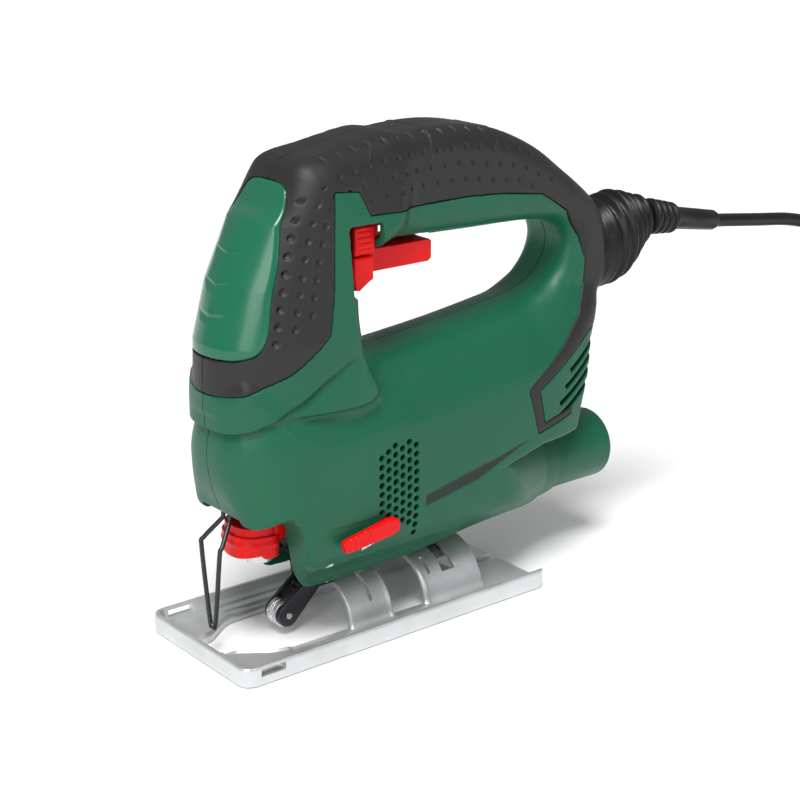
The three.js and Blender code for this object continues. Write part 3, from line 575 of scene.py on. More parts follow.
def mesh_tube(name, path, radius, material, across, sides=14, domed=False):
    """A closed round tube along points, which rides on nothing yet; its ends are flat or domed."""
    p = np.asarray(path, float)
    tangent = np.gradient(p, axis=0)
    tangent /= np.linalg.norm(tangent, axis=1, keepdims=True)
    side = np.cross(tangent[0], across)
    ring = np.linspace(0, 2 * np.pi, sides, endpoint=False)[:, None]
    stations = [(q, t, radius) for q, t in zip(p, tangent)]
    if domed:
        tip, small = (1 - DOME) * radius, DOME * radius
        stations.insert(0, (p[0] - tangent[0] * tip, tangent[0], small))
        stations.append((p[-1] + tangent[-1] * tip, tangent[-1], small))
    verts, faces = [], []
    for q, t, size in stations:
        side = side - t * side.dot(t)
        side /= np.linalg.norm(side)
        verts.append(q + size * (np.cos(ring) * side + np.sin(ring) * np.cross(t, side)))
    for s in range(len(stations) - 1):
        for k in range(sides):
            n = (k + 1) % sides
            faces.append((s * sides + k, s * sides + n, (s + 1) * sides + n, (s + 1) * sides + k))
    faces.append(tuple(range(sides))[::-1])
    last = (len(stations) - 1) * sides
    faces.append(tuple(range(last, last + sides)))
    return mesh_object(name, np.vstack(verts), faces, material, 50)


cord = mesh_tube("mains_cord", path, CORD_RADIUS, RUBBER, (0, 1.0, 0))
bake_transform(cord)
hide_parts("cord", "cord_coil")

# ---- Housing form -------------------------------------------------------------------------------
BODY_SIDE = Outline(smooth([
    [-46, 56], [-37, 26], [-33, 22], [-17, 21], [5, 21.5], [30, 23], [50, 25.5], [75, 27.5], [98, 28.5],
    [99, 45], [99.5, 57], [103.5, 70], [109.5, 82], [113, 93], [115.5, 104], [115, 112], [108, 117.5],
    [90, 119.5], [67, 119], [45, 117], [25, 115], [10, 114], [-9, 114], [-40, 116], [-58, 113],
    [-66.5, 104], [-68.4, 94],
    [-67.6, 76], [-63.4, 61.5], [-60, 54],
], 220))
BODY_HALF = [
    [0, 126], [11, 124.5], [18.5, 120.5], [24.5, 113], [28, 103], [29.7, 92], [30, 70], [29.6, 52],
    [27.5, 40], [23.5, 33.6], [18, 30.6], [14.8, 26.8], [14, 21], [0, 20.5],
]
CROWN_HALF = [
    [0, 0], [7, -0.8], [13, -3], [18, -7], [23, -14], [27, -24], [29.5, -38], [30.4, -60],
    [30.4, -130], [0, -130],
]
PLAN_HALF = [
    [0, 119], [13, 115], [20, 108], [25.5, 95], [29, 78], [30, 56], [30, -28], [28.5, -42],
    [24.5, -54], [17, -63], [9, -67.5], [0, -68.5],
]
TOWER_SIDE = Outline(smooth([
    [-73, 96], [-8, 98], [-10, 110], [-14.5, 120], [-14.5, 140], [-8, 150], [8, 160], [8, 190.8],
    [-4, 189.4],
    [-13, 187.2], [-26, 182.2], [-34.5, 176], [-42, 169.5], [-50, 166], [-62, 146], [-70, 122],
    [-72.6, 106],
], 160))
TOWER_HALF = [
    [0, 194.5], [9, 192.5], [15, 188], [19, 181], [22.5, 170], [25.5, 152], [28, 132], [29.6, 112],
    [29.9, 95], [0, 94.8],
]
LEAN_HALF = [
    [0, 16], [29, 12], [30, -24], [28.6, -40], [24.5, -54], [17.5, -63.5], [9, -69.5], [0, -71.3],
]
HANDLE_OUTSIDE = Outline(smooth([
    [-34, 184], [-37, 150], [-34, 108], [40, 98], [100, 96], [114, 102], [120, 112], [125.6, 120],
    [126.4, 128], [125, 140], [121.5, 148], [116, 154.5], [108, 161], [98.5, 167.8], [83, 178.6],
    [63.5, 187.4], [48, 191], [33, 192.2], [9, 190.8], [-14, 187],
], 200))
HANDLE_OPENING = Outline(smooth([
    [-10.5, 130], [-9, 118], [-3, 108], [10, 105.5], [45, 108], [67, 110.5], [82, 114], [91, 122],
    [98, 130], [100, 138.5], [96, 146], [82, 149], [65, 150], [45, 150.5], [15, 151.5], [-5, 152],
    [-10, 147],
], 140))


def both(half):
    return [*half, *[[-u, v] for u, v in half[::-1] if u > 0]]


BODY_SECTION = Outline(smooth(both(BODY_HALF), 130))
BODY_PLAN = Outline(smooth(both(PLAN_HALF), 130))
TOWER_SECTION = Outline(smooth(both(TOWER_HALF), 120))
LEAN_PLAN = Outline(smooth(both(LEAN_HALF), 110))
CROWN = Outline(smooth(both(CROWN_HALF), 130))
GRIP_REGION = Outline([
    [-90, 104.3], [-67, 104.3], [-63.6, 105.4], [-56.6, 107.8], [-45.7, 112.4], [-38.6, 118], [-30.6, 125],
    [-27.8, 140], [-25.5, 162.7], [-23.8, 175.6], [-12.8, 174.5], [-8.5, 165.4], [16, 164.6], [42.3, 164.9],
    [59.6, 163.9], [81.8, 160.8], [96.4, 152.1], [104.5, 140], [107.6, 130], [107, 120], [100.1, 109.2],
    [87.3, 98.2], [67.2, 84.7], [72.5, 65.5], [92.5, 69.6], [92.5, 72.4], [75.8, 69.4], [72.9, 83.2],
    [92.8, 94.7], [105.8, 101.5], [150, 104], [150, 210], [-90, 210],
])
COVER_REGION = Outline(smooth(both([
    [0, 178.6], [8, 178.2], [11.4, 176.6], [13.4, 173], [18.8, 153.4], [20.3, 137.4], [20.8, 125],
    [19.2, 120.6], [14.5, 118.4], [8, 118], [0, 118],
]), 90))
LABEL = Outline([[13.2, 53.4], [13.4, 49], [40.9, 54.1], [67, 64.4], [54, 61.4], [32, 57.3]], 6, 0.25)
TUBE_Z = 42.4


def groove_line(x):
    stations = [-68, -64.7, -59, -51.3, -42, -33.3, -18]
    return np.interp(x, stations, [89.7, 90.4, 92, 96.2, 100.5, 106.8, 115])


def form(x, y, z):
    """The tool's outer surface without its grip seams, vents and openings."""
    body = meet(meet(BODY_SIDE(x, z), BODY_PLAN(y, x), 3.5), BODY_SECTION(y, z), 3.5)
    stations = [-70, -9, 10, 25, 45, 67, 85, 110]
    crest = np.interp(x, stations, [118, 112, 111.2, 112.7, 114.3, 116.8, 118.7, 118.7])
    body = meet(body, CROWN(y, z - crest), 2)
    tower = meet(TOWER_SIDE(x, z), TOWER_SECTION(y, z), 5)
    back = np.interp(z, [90, 106, 122, 143, 165, 178, 190], [3.0, 3.4, 3.9, 9.8, 20.3, 31, 42])
    tower = meet(tower, LEAN_PLAN(y, x - back), 3)
    ring = np.maximum(HANDLE_OUTSIDE(x, z), -HANDLE_OPENING(x, z))
    wide = np.interp(x, [-30, 0, 60, 100, 128], [19, 18, 18, 17, 14.5])
    r = 9.5
    a, b = ring + r, np.abs(y) - wide + r
    handle = np.hypot(np.maximum(a, 0), np.maximum(b, 0)) + np.minimum(np.maximum(a, b), 0) - r
    soft = np.interp(x, [-36, -16], [0, 1])
    whole = (1 - soft) * fuse(body, tower, 1.5) + soft * fuse(body, tower, 9)
    whole = fuse(whole, handle, 8)
    # The lower part behind the saddle narrows into the dust tube.
    seam = np.interp(x, [0, 11.4, 30.7, 51.6, 76, 98], [41, 43.5, 48.4, 54, 60, 60])
    radius = np.interp(x, [30, 45, 60, 75, 88, 99], [48, 35.5, 29, 22.5, 17.6, 15.9])
    cone = np.hypot(y, z - TUBE_Z) - radius
    whole = carve(whole, np.maximum(-cone, z - seam), 2.5)
    # A swept step round the nose, with a soft lip under it.
    under = groove_line(x) - z
    deep = np.interp(x, [-72, -40, -28, -12], [2.6, 2.4, 1.7, 0])
    fade, start = np.clip(1 - under / 13, 0, 1) ** 2, np.clip(1 + under / 1.1, 0, 1)
    lip = np.where(under > 0, fade, start)
    # The flank leans in above a long crease.
    stations = [-60, -45, -27.5, -10, 7.5, 25.5, 44, 66, 90]
    crease = np.interp(x, stations, [75, 77.6, 80, 84, 88.1, 90.3, 92.2, 92.6, 94])
    lean = np.interp(x, [-62, -46, 78, 100], [0, 1, 1, 0]) * np.clip((z - crease) * 0.13, 0, 1.9)
    lean *= np.clip((122 - z) / 12, 0, 1)
    return whole + deep * lip + lean


def wedge_cavity(x, y, z):
    """The open bay under the nose that holds the blade clamp, the lever and the roller."""
    return np.maximum(BAY(x, z), np.abs(y) - 12.6)


BAY = Outline([[-61.5, 50], [-46, 15], [-14.5, 15], [-14.5, 54], [-34, 64], [-61.5, 64]])


def boot_form(x, y, z, grow=0.0):
    """The cord boot: a bell that rises a little as it leaves the handle."""
    s = x - 133
    centre = 132 + 0.26 * s
    stations = [114, 119, 124, 129, 137, 145, 151, 157]
    radius = np.interp(x, stations, [8, 13.5, 17.4, 19.2, 19.2, 15.5, 11.5, 9.5])
    return np.maximum(np.hypot(y / 0.86, z - centre) - radius - grow, slab(x, 114 - grow, 157 + grow))


def louvres(x, y, z):
    """Slanting slots through the flanks at the back, open to the rear."""
    best = np.full(np.shape(x), 50.0)
    slope = math.radians(24)
    for i in range(4):
        along = (x - 98) * math.cos(slope) + (z - 76 - 4.9 * i) * math.sin(slope)
        up = -(x - 98) * math.sin(slope) + (z - 76 - 4.9 * i) * math.cos(slope)
        one = np.maximum(slab(up, -1.25, 1.25), slab(along, -18 + 3.6 * i, 30))
        best = np.minimum(best, one)
    return np.maximum(best, 13 - np.abs(y))


def dots(x, y, z):
    """The dotted intake in the flank: six columns of round holes, staggered, longer towards the back."""
    pitch, rise = 3.35, 3.64
    column = np.clip(np.round((x + 8.1) / pitch), 0, 5)
    shift = np.where(column % 2 > 0, rise / 2, 0)
    low, high = np.ceil((-2.7 * column - shift) / rise), np.floor((24.9 + 0.4 * column - shift) / rise)
    row = np.clip(np.round((z - 51.5 - shift) / rise), low, high)
    d = np.hypot(x + 8.1 - column * pitch, z - 51.5 - shift - row * rise) - 1.25
    return np.maximum(d, 20 - np.abs(y))


SCREWS = [[-28, 171, 17], [62, 174, 17], [114, 136, 15.5], [98, 92, 20], [62, 39, 24], [-57, 88, 17]]


ROD_X = -46  # the plunger's axis


def housing(side):
    """The green shell on one side of the tool: -1 is the left, 1 the right."""
    def field(x, y, z):
        skin = form(x, y, z)
        region = np.minimum(GRIP_REGION(x, z), np.maximum(COVER_REGION(y, z), x + 30))
        outer = carve(skin, np.maximum(-(skin + 1.9), region - 0.28), 0.35)
        shell = np.maximum(outer, -(skin + 3.4))
        for sx, sz, _ in SCREWS:
            boss = np.maximum(np.hypot(x - sx, z - sz) - 4.4, skin + 2.2)
            shell = np.minimum(shell, boss)
        shell = carve(shell, wedge_cavity(x, y, z), 0.5)
        shell = carve(shell, np.hypot(y, z - TUBE_Z) - 15.4 + np.clip(86 - x, 0, 50) * 9, 0.3)
        shell = np.maximum(shell, -np.maximum(97 - x, z - 58.4))
        shell = np.maximum(shell, -boot_form(x, y, z, 0.3))
        shell = np.maximum(shell, -block(x, y, z, (-4.4, 30), (-13.2, 10.7), (146, 159)))
        rod_way = np.maximum(np.hypot(x - ROD_X, y) - 5, skin + 2.4)
        shell = np.maximum(shell, -np.maximum(rod_way, 118 - z))
        shell = np.maximum(shell, -(np.hypot(x - 36, y) - 2.8 + np.clip(z - 34, 0, 50) * 9))
        shell = carve(shell, dots(x, y, z), 0.25)
        shell = carve(shell, louvres(x, y, z), 0.35)
        label = np.maximum(LABEL(x, z), -(skin + 0.45))
        shell = carve(shell, label, 0.15)
        if side < 0:
            shell = carve(shell, block(x, y, z, (-14.2, -3.6), (-30, -5), (136, 161.6), 0.8), 0.4)
            shell = carve(shell, block(x, y, z, (-19, -3.4), (-40, -19.4), (135.6, 162.4), 1.5), 0.6)
            shell = np.maximum(shell, -np.maximum(np.hypot(x + 6, z - 46) - 3.3, y + 20))
            pocket = block(x, y, z, (-31.6, -1.5), (-40, -28.6), (40.6, 50.6), 0.9)
            shell = carve(shell, pocket, 0.4)
            return meet(shell, y + 0.15, 0.3)
        for sx, sz, half in SCREWS:
            way = np.hypot(x - sx, z - sz)
            bore = np.minimum(np.maximum(way - 3.8, half - 6 - y), np.maximum(way - 2.4, -y - 6))
            shell = carve(shell, bore, 0.3)
        return meet(shell, 0.15 - y, 0.3)
    return field


def dimples(x, y, z):
    """How deep the small round dimples of the grip are at each point."""
    # Along the front pillar they run in three slanting columns, over the handle in staggered rows.
    heights = [118, 124.7, 139, 152.4, 163.8, 173, 180]
    first = np.interp(z, heights, [-52.4, -51.1, -48.1, -44.6, -40.8, -36.3, -32])
    pillar_u = (x - first) / 5.8
    pillar_v = (z - 124.7) / 6.1
    handle_v = (z - np.interp(x, [-30, 0, 40, 70, 100, 130], [173, 178, 178.5, 174, 160, 146])) / 6.0
    handle_u = (x + 24) / 6.9
    total = np.zeros(np.shape(x))
    column = np.clip(np.round(pillar_u), 0, 2)
    stagger = column * 0.77
    row = np.round(pillar_v - stagger)
    d = np.hypot((pillar_u - column) * 5.8, (pillar_v - stagger - row) * 6.1)
    use = (z > 121 + 4 * column) & (z < 178) & (x < -26.5) & (np.abs(y) > 13)
    total += np.where(use, np.clip(1.15 - (d / 1.4) ** 2, 0, 1) * 0.9, 0)
    lane = np.clip(np.round(handle_v), -1, 2)
    shift = np.where(lane % 2 > 0, 0.5, 0)
    place = np.round(handle_u - shift)
    d = np.hypot((handle_u - shift - place) * 6.9, (handle_v - lane) * 6.0)
    use = (x > -26) & (x < 88) & (np.abs(y) > 6) & (z > 163)
    return total + np.where(use, np.clip(1 - (d / 1.25) ** 2, 0, 1) * 0.7, 0)


def grip(side):
    def field(x, y, z):
        skin = form(x, y, z)
        cover = np.maximum(COVER_REGION(y, z), x + 30)
        lump = meet(skin, GRIP_REGION(x, z), 0.8)
        lump = carve(lump, cover - 0.3, 0.6)
        rib = np.zeros(np.shape(x))
        for place, lean in ((-1.5, 0.8), (25.8, 0.22), (58.9, 0.2)):
            rib = np.maximum(rib, np.clip(1 - np.abs(x - place - lean * (z - 190)) / 0.8, 0, 1))
        rib *= np.clip((z - 172) / 4, 0, 1)
        lump = lump + dimples(x, y, z) - 0.3 * rib
        lump = np.maximum(lump, -(skin + 1.6))
        lump = np.maximum(lump, -boot_form(x, y, z, 0.3))
        if side < 0:
            lump = carve(lump, block(x, y, z, (-14.2, -3.6), (-30, -5), (149.8, 161.6), 0.8), 0.4)
            return meet(lump, y + 0.15, 0.3)
        return meet(lump, 0.15 - y, 0.3)
    return field


def cover(x, y, z):
    """The glossy front cover, with a centre ridge and four short steps."""
    skin = form(x, y, z)
    panel = meet(skin, COVER_REGION(y, z), 1.1)
    centre = np.clip(1 - np.abs(y) / 3.2, 0, 1)
    crown = 0.5 * np.clip(1 - ((z - 150) / 30) ** 2, 0, 1) * centre
    steps = np.zeros(np.shape(x))
    for place in (164.5, 153.9, 143.1, 132.1):
        t = z - place - 0.13 * np.abs(y)
        step = np.where(t > 0, np.clip(1 - t / 1.0, 0, 1), np.clip(1 + t / 2.6, 0, 1))
        steps = np.maximum(steps, step * np.clip((9 - np.abs(y)) / 4, 0, 1))
    panel = panel - crown * 0.4 + 0.45 * steps
    return np.maximum(np.maximum(panel, -(skin + 1.6)), x + 30.2)


def make_housing():
    for side, name in ((-1, "left"), (1, "right")):
        near, far = (-33, 0.6) if side < 0 else (-0.6, 33)
        shell = sculpt(f"shell_{name}", housing(side), [-74, near, 19], [140, far, 197], 0.62, GREEN,
                       "housing", f"housing_{name}")
        paint(shell, "mark", lambda x, y, z: np.where(np.abs(y) > 20, 0.5 - LABEL(x, z) / 0.5, 0))
        sculpt(f"grip_{name}", grip(side), [-74, near, 60], [140, far, 197], 0.5, GRIP,
               "housing", f"soft_grip_{name}")
    sculpt("nose_cover", cover, [-73, -22, 115], [-29, 22, 184], 0.45, GLOSS, "housing", "front_cover")


make_housing()


# ---- Base plate ---------------------------------------------------------------------------------
def rounded_rectangle(x, y, x0, x1, half, r):
    a = slab(x, x0, x1) + r
    b = np.abs(y) - half + r
    return np.hypot(np.maximum(a, 0), np.maximum(b, 0)) + np.minimum(np.maximum(a, b), 0) - r


OPENING = Outline(smooth([
    [-71, -7.5], [-63, -8.6], [-57, -12.5], [-50, -17], [-40, -18], [-20, -18], [10, -18], [50, -18],
    [51.2, -12], [51.2, 12], [50, 18], [10, 18], [-20, 18], [-40, 18], [-50, 17], [-57, 12.5], [-63, 8.6],
    [-71, 7.5], [-71.8, 0],
], 150))


def base_plate(x, y, z):
    edge = rounded_rectangle(x, y, -75, 75, 33.5, 5.5)
    into = -rounded_rectangle(x, y, -75, 92, 33.5, 5.5)
    steps = [0, 0.5, 1.9, 3.3, 6.2, 6.8, 9.6, 10.2, 40]
    tops = [7.0, 7.5, 7.5, 4.3, 4.1, 3.1, 2.9, 2.1, 2.0]
    top = np.interp(into, steps, tops)
    top = np.where((np.abs(y) < 26.5) & (x > 66), np.minimum(top, 2.0), top)
    opening = OPENING(x, y)
    lip = 0.9 * np.clip(1 - np.abs(opening - 1.4) / 1.2, 0, 1) * np.clip((-x - 20) / 10, 0, 1)
    pad = 0.8 * np.clip((12 - np.hypot((x + 62) / 1.5, (np.abs(y) - 19))) / 1.5, 0, 1)
    dish = 0.5 * np.clip(1 - np.abs(np.abs(y) - 22.8) / 0.8, 0, 1) * np.clip((x + 40) / 4, 0, 1)
    top = np.maximum(top, 2 + lip + pad) - dish
    solid = np.maximum((z - top) * 0.6, -z)
    solid = meet(edge, solid, 0.5)
    solid = carve(solid, opening, 0.4)
    slot = np.minimum(rounded_rectangle(x, y, 62, 80, 2.5, 0.8), rounded_rectangle(x, y, 57.5, 63, 5, 1.2))
    solid = carve(solid, slot, 0.3)
    fence = np.maximum(slab(x, -68, -57), slab(z, 3.4, 6.4))
    fence = np.maximum(fence, 28.4 - np.abs(y))
    ring = np.hypot(y, z)
    arches = np.minimum(slab(x, -16, 4), slab(x, 21, 51))
    bridge = meet(meet(slab(ring, 18, 20), arches, 0.5), -z, 0.2)
    bead = np.hypot(ring - 19.4, np.minimum(np.abs(x - 3.6), np.abs(x - 22.2))) - 1.0
    bead = meet(bead, -z, 0.2)
    bridge = fuse(bridge, np.maximum(bead, arches - 0.2), 0.5)
    solid = fuse(solid, bridge, 1.6)
    clamp = np.maximum(slab(x, 32.7, 39.3), np.abs(np.arctan2(y, z)) * 19 - 17.6)
    solid = carve(solid, clamp, 0.3)
    detent = np.maximum(slab(x, 25.5, 26.9), np.abs(np.abs(y) - 12.5) - 3)
    detent = np.maximum(detent, 8 - z)
    hook = np.minimum(block(x, y, z, (-5.5, -3.9), (-17, -6), (8, 22), 0.3),
                      block(x, y, z, (-5.5, 0.5), (-8, -6.2), (8, 22), 0.3))
    solid = carve(solid, np.minimum(detent, hook), 0.2)
    return carve(solid, fence, 0.3)


sculpt("sole_plate", base_plate, [-76, -34.5, -0.6], [76, 34.5, 20.6], 0.45, PLATE, "base", "base_plate",
       sharp=40)


# ---- Dust tube, boot, strain relief, coil band and plug -------------------------------------------
TUBE_PROFILE = rounded([
    (88, 13.2), (88, 15.1), (98, 15.1), (127.4, 15.1), (128.7, 14.3), (128.7, 13.6), (127.8, 13.2),
    (88, 13.2),
], 0.5)
lathe("dust_outlet", TUBE_PROFILE, (0, 0, TUBE_Z), (1, 0, 0), GREEN,
      "housing", "dust_tube", sides=96)


def boot(x, y, z):
    """The bell at the back of the handle, ribbed towards its narrow end."""
    bell = boot_form(x, y, z, -0.5)
    ribs = np.interp(x, [127, 130], [0, 1]) * np.cos((x - 143.2) * 2 * math.pi / 5.2)
    bell = bell - 1.15 * ribs * np.interp(z, [108, 122], [0.5, 1])
    return meet(bell, slab(x, 114.4, 157), 0.6)


sculpt("cord_bell", boot, [113.5, -20, 106], [158, 20, 160], 0.5, RUBBER, "housing", "cord_boot")

relief = [(0, 3.3), (0, 6.4), (0.4, 6.9)]
for i in range(4):
    s = 1.2 + 4.0 * i
    big = 7.9 - 0.35 * i
    relief += [(s, big - 1.2), (s + 0.5, big - 0.2), (s + 1.0, big), (s + 1.9, big),
               (s + 2.4, big - 0.2), (s + 2.9, big - 1.3)]
relief += [(17.2, 5.4), (18, 5.0), (30, 4.75), (43.2, 4.5), (44.3, 4.1), (44.6, 3.3), (44.6, 3.2), (0, 3.2),
           (0, 3.3)]
tilt = math.radians(10)
lathe("strain_relief", relief, (158.9, 0, 138.2), (math.cos(tilt), 0, -math.sin(tilt)), RUBBER,
      "housing", "cord_sleeve", sides=48, sharp=50)


def tie(x, y, z):
    """A flat band round the coil with a small clasp on top."""
    turn = math.radians(105)
    u = (x - COIL_X) * math.cos(turn) + y * math.sin(turn)
    v = -(x - COIL_X) * math.sin(turn) + y * math.cos(turn)
    outer = block(u, v, z, (22, 42.8), (-5, 5), (0, 38), 2.4)
    inner = block(u, v, z, (22.8, 42.1), (-9, 9), (0.75, 37.3), 2.2)
    band = carve(outer, inner, 0.2)
    clasp = block(u, v, z, (28, 36), (-4.4, 4.4), (37.2, 38), 0.3)
    return fuse(band, clasp, 0.2)


sculpt("cord_band", tie, [332, 14, -0.5], [364, 46, 38.5], 0.35, BLACK, "base", "coil_tie")

PLUG_X, PLUG_Y = COIL_X + 36.6, -27.8
PLUG_PLAN = Outline(smooth([
    [0, -4], [8, -5], [14, -9], [21, -15.2], [29, -17.4], [37.6, -17.3], [37.9, -15], [37.9, 15],
    [37.6, 17.3], [29, 17.4], [21, 15.2], [14, 9], [8, 5], [0, 4],
], 90))


def plug(x, y, z):
    turn = math.radians(20)
    u = (x - PLUG_X) * math.cos(turn) + (y - PLUG_Y) * math.sin(turn)
    v = -(x - PLUG_X) * math.sin(turn) + (y - PLUG_Y) * math.cos(turn)
    tall = slab(z, 0.4, 14.4) + 2.2 * np.clip((12 - u) / 12, 0, 1)
    body = meet(PLUG_PLAN(u, v), tall, 2.6)
    ribs = np.clip(1 - np.abs((u - 20) % 3.0 - 1.5) / 0.8, 0, 1) * ((u > 19) & (u < 32) & (np.abs(v) > 9))
    neck = meet(np.hypot(v, z - 7.4) - 4.6 - 0.5 * np.cos(u * 2.3), slab(u, 0.3, 12), 0.5)
    return fuse(body + 0.45 * ribs, neck, 1.0)


plug_body = sculpt("contour_plug", plug, [PLUG_X - 6, -47, 0], [PLUG_X + 46, 6, 15], 0.45, RUBBER,
                   "base", "mains_plug")

# ---- Controls -----------------------------------------------------------------------------------
TRIGGER = Outline([
    [-13.4, 141], [-12.6, 137], [-10.6, 136.6], [-6, 139.6], [-2, 141], [27.5, 141], [29, 142.2],
    [29, 148.8], [27.8, 149.8], [9, 149.8], [9, 157.4], [0, 157.4], [0, 149.3], [-13.4, 149.3],
], 6, 0.2)


def trigger(x, y, z):
    part = meet(TRIGGER(x, z), slab(y, -19.6, 10), 1.0)
    part = carve(part, block(x, y, z, (-16, -2.2), (-8, 14), (130, 170), 0.5), 0.5)
    part = carve(part, block(x, y, z, (-4.5, 40), (-22, -12.5), (130, 170), 0.5), 0.5)
    top = np.maximum(149.8 - z, -slab(y, -5, 5))
    return carve(part, top, 0.4)


def lock_button(x, y, z):
    part = block(x, y, z, (-13.6, -3.9), (-20.2, -8.2), (150, 161), 1.1)
    grooves = np.clip(1 - np.abs((z - 151.6) % 2.2 - 1.1) / 0.6, 0, 1)
    grooves = grooves * (y < -18.6) * (slab(x, -12, -5.6) < 0)
    return part + 0.3 * grooves


LEVER = Outline([
    [-29.2, 45.4], [-28.3, 41.6], [-26.5, 41.2], [-6.5, 43.2], [-2.9, 44.6], [-2.5, 48.4], [-4.6, 50.0],
    [-7.6, 50.2], [-28.2, 46.4],
], 6, 0.2)


def orbital_lever(x, y, z):
    bar = meet(LEVER(x, z), slab(y, -33.4, -30.4), 0.8)
    ribs = np.clip(1 - np.abs((x + 27.6) % 2.3 - 1.15) / 0.6, 0, 1) * (x < -17) * (y < -32.6)
    knob = np.maximum(np.hypot(x + 6, z - 46) - 3, slab(y, -31, -24.6))
    return np.minimum(bar + 0.35 * ribs, knob)


SCOOP = Outline(smooth([
    [-44, 11.4], [-51, 11.3], [-55, 9.6], [-57.8, 6], [-58.7, 0], [-57.8, -6], [-55, -9.6], [-51, -11.3],
    [-44, -11.4],
], 90), 6, 0.25)
ARM = Outline([[-45, 44], [-36.8, 45.2], [-33.9, 47], [-33.9, 50.4], [-36.8, 51.6], [-45, 50]], 6, 0.2)


def release_lever(x, y, z):
    rise = 2.2 * np.clip(np.abs(y) / 11, 0, 1) ** 2 * (x < -50)
    rim = np.interp(x, [-58, -44], [38.6, 37.4]) + rise
    plan = SCOOP(x, y)
    belly = plan - 0.5 * np.clip(1 - np.abs(z - 43.4) / 1.6, 0, 1)
    scoop = meet(belly, np.maximum(37.5 - z + np.maximum(rim - 38.6, 0), z - 50), 1.0)
    hollow = np.maximum(plan + 2.6, np.maximum(x + 38, 30 - z))
    scoop = carve(scoop, hollow, 0.5)
    scoop = np.maximum(scoop, x + 44)
    scoop = np.maximum(scoop, -np.maximum(-(plan + 1.1), 46.6 - z))
    arms = meet(ARM(x, z), np.abs(np.abs(y) - 10.1) - 1.3, 0.5)
    part = fuse(scoop, arms, 0.4)
    eye = np.hypot(x + 36.8, z - 48.5) - 1.7
    return np.maximum(part, -eye)


sculpt("trigger_key", trigger, [-14, -20.4, 136], [30, 10.6, 158], 0.35, RED, "trigger", "switch_trigger")
sculpt("lock_key", lock_button, [-14.2, -21, 149.4], [-3.4, -7.6, 161.6], 0.3, RED,
       "lock_button", "lock_button")
sculpt("action_lever", orbital_lever, [-30, -34, 40.5], [-1.5, -24, 51], 0.3, RED,
       "orbital_lever", "orbital_lever")
sculpt("release_scoop", release_lever, [-60, -12.4, 36], [-33, 12.4, 52.4], 0.35, RED, "release_lever",
       "blade_release_lever")


def inlay(name, region, low, high, material):
    """A printed mark that stands a hair proud of the left flank."""
    def field(x, y, z):
        skin = form(x, y, z)
        return np.maximum(np.maximum(skin - 0.15, -(skin + 0.2)), np.maximum(region(x, z), y + 10))
    return sculpt(name, field, low, high, 0.3, material, "housing")


inlay("white_dot", lambda x, z: np.hypot(x + 29, z - 33.2) - 1.5, [-32, -32, 30], [-26, -14, 37], WHITE)
inlay("white_mark",
      lambda x, z: np.maximum(np.abs(z - 39.2 - (x + 13.5) * 0.35) - 0.8, np.abs(x + 13.5) - 2.8),
      [-18, -33, 36], [-9, -20, 43], WHITE)

# ---- Guide block, roller fork, roller and wire guard ------------------------------------------------
GUIDE_SIDE = Outline([[-32.6, 54], [-32.6, 35], [-27, 27], [-17, 27], [-17, 54]], 6, 0.25)
GUIDE_LUG = Outline([[-26, 30], [-24.5, 18.4], [-16.6, 18.4], [-16.6, 30]], 6, 0.25)


def guide_block(x, y, z):
    part = meet(GUIDE_SIDE(x, z), np.abs(y) - 11.8, 0.6)
    ribs = np.clip(1 - np.abs((y + 12.2) % 4.6 - 2.3) / 1.3, 0, 1) * np.clip((-x - 25.5) / 2, 0, 1)
    part = part + 1.3 * (1 - ribs) * np.clip((-x - 25.5) / 2, 0, 1)
    lugs = meet(GUIDE_LUG(x, z), np.abs(np.abs(y) - 7.3) - 1.7, 0.4)
    part = np.minimum(part, lugs)
    part = carve(part, block(x, y, z, (-30, -19.5), (-9, 9), (31, 60), 0.4), 0.3)
    return np.maximum(part, -(np.hypot(x + 20.5, z - 21) - 1.7))


def roller_fork(x, y, z):
    arm = capsule(x, 0 * y, z, (-20.5, 0, 21), (-35.5, 0, 8), 3.2, 4.6)
    cheeks = meet(arm, np.abs(np.abs(y) - 4.15) - 0.85, 0.35)
    web = meet(np.hypot(x + 25.9, z - 16.3) - 2.2, np.abs(y) - 4, 0.2)
    part = fuse(cheeks, web, 0.6)
    part = np.maximum(part, -(np.hypot(x + 20.5, z - 21) - 1.7))
    return np.maximum(part, -(np.hypot(x + 35.5, z - 8) - 1.4))


sculpt("guide_body", guide_block, [-33.4, -12.4, 17.8], [-16, 12.4, 54.6], 0.4, BLACK,
       "housing", "guide_block")
sculpt("fork", roller_fork, [-41, -5.4, 2.8], [-16.6, 5.4, 25], 0.3, DARKSTEEL, "fork", "roller_fork")
wheel = rounded([
    (-2.9, 1.5), (-2.9, 5.3), (-1.0, 5.3), (-0.5, 4.4), (0.5, 4.4), (1.0, 5.3), (2.9, 5.3), (2.9, 1.5),
    (-2.9, 1.5),
], 0.3)
axle = rounded([(-5.5, 0), (-5.5, 1.25), (5.5, 1.25), (5.5, 0)], 0.3)
lathe("roller", wheel, (-35.5, 0, 8), (0, 1, 0), STEEL, "roller", "guide_roller", sides=48)
lathe("roller_axle", axle, (-35.5, 0, 8), (0, 1, 0), STEEL, "fork", "roller_pin", sides=24)
GUARD_HALF = [
    [-59.5, 2.2, 62], [-59.5, 2.2, 54], [-60.5, 3, 51.8], [-66, 6.4, 45], [-67, 6.2, 42],
    [-67.1, 1.9, 13.2], [-67.1, 0, 11.6],
]
guard = open_curve([*GUARD_HALF, *[[x, -y, z] for x, y, z in GUARD_HALF[-2::-1]]], 1.0)
wire = mesh_tube("guard_wire", guard, 0.9, DARKSTEEL, (1.0, 0, 0), domed=True)
settle(wire, "housing", ["wire_guard"])

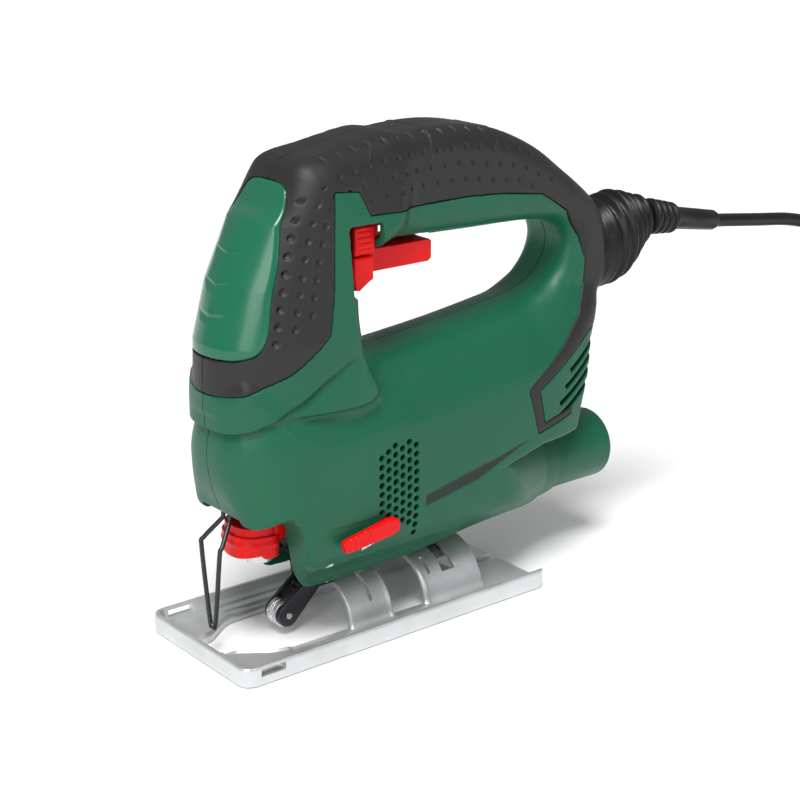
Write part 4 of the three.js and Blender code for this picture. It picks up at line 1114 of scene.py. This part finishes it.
# ---- CAD nodes that stay, with their own finishes ---------------------------------------------------
FINISHES = {
    STEEL: ["clamp_shoe", "armature_shaft", "drive_pinion", "bearing_front", "bearing_back", "gear_axle",
            "drive_gear", "crank_pin", "plunger_rod", "plunger_yoke", "blade_clamp", "release_lever_pin",
            "fork_pin", "plug_pin_left", "plug_pin_right", *[f"housing_screw_{i}" for i in range(1, 7)]],
    DARKSTEEL: ["clamp_screw"],
    LAMINATE: ["armature_core", "field_stator"],
    COPPER: ["winding_front", "winding_back", "commutator"],
    BRONZE: ["upper_bush", "lower_bush"],
    CASTING: ["gear_bracket"],
    CARBON: ["carbon_brush_left", "carbon_brush_right"],
    BLACK: ["cooling_fan", "brush_holder_left", "brush_holder_right", "switch_module", "guard_holder"],
}
for shader, names in FINISHES.items():
    for name in names:
        NODES[name].data.materials.clear()
        NODES[name].data.materials.append(shader.material)

at(*CORD_ROUTE[0])


# ---- Floor and light ----------------------------------------------------------------------------
def make_floor():
    mesh = bpy.data.meshes.new("floor")
    s = 40.0
    mesh.from_pydata([(-s, -s, 0), (s, -s, 0), (s, s, 0), (-s, s, 0)], [], [(0, 1, 2, 3)])
    floor = add_object("floor", mesh)
    paper = Shader("floor_paper", (0.93, 0.93, 0.93), 0.85)
    mesh.materials.append(paper.material)
    floor.location.z = -0.0004
    floor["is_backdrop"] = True


def area(name, where, aim, size, power):
    light = bpy.data.lights.new(name, "AREA")
    light.shape = "RECTANGLE"
    light.size, light.size_y = size
    light.energy = power
    made = add_object(name, light)
    made.location = where
    made.rotation_mode = "QUATERNION"
    made.rotation_quaternion = (Vector(aim) - Vector(where)).to_track_quat("-Z", "Y")


def sun(name, toward, strength, angle):
    light = bpy.data.lights.new(name, "SUN")
    light.energy = strength
    light.angle = math.radians(angle)
    made = add_object(name, light)
    made.rotation_mode = "QUATERNION"
    made.rotation_quaternion = Vector(toward).to_track_quat("Z", "Y")


def make_light():
    world = bpy.data.worlds.new("studio")
    world.use_nodes = True
    nodes, links = world.node_tree.nodes, world.node_tree.links
    place = nodes.new("ShaderNodeTexCoord")
    split = nodes.new("ShaderNodeSeparateXYZ")
    ramp = nodes.new("ShaderNodeValToRGB")
    stops = (0.0, (0.62, 0.62, 0.63, 1)), (0.75, (0.8, 0.8, 0.8, 1))
    for element, (height, color) in zip(ramp.color_ramp.elements, stops):
        element.position, element.color = height, color
    links.new(place.outputs["Generated"], split.inputs["Vector"])
    links.new(split.outputs["Z"], ramp.inputs["Fac"])
    links.new(ramp.outputs["Color"], nodes["Background"].inputs["Color"])
    nodes["Background"].inputs["Strength"].default_value = 0.46
    bpy.context.scene.world = world
    sun("key", (-0.34, -0.34, 1.0), 3.1, 24)
    area("left_box", (-0.9, -0.5, 0.55), (0, 0, 0.1), (0.3, 0.7), 3.4)
    area("front_box", (0.2, -1.3, 0.6), (0, 0, 0.1), (0.6, 0.2), 1.6)
    bpy.context.scene.view_settings.view_transform = "Standard"


make_floor()
make_light()

visual_box = [list(corner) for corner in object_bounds()]
boxes = {"cad": cad_box, "visual": visual_box}
{key: [list(map(float, corner)) for corner in box] for key, box in boxes.items()}
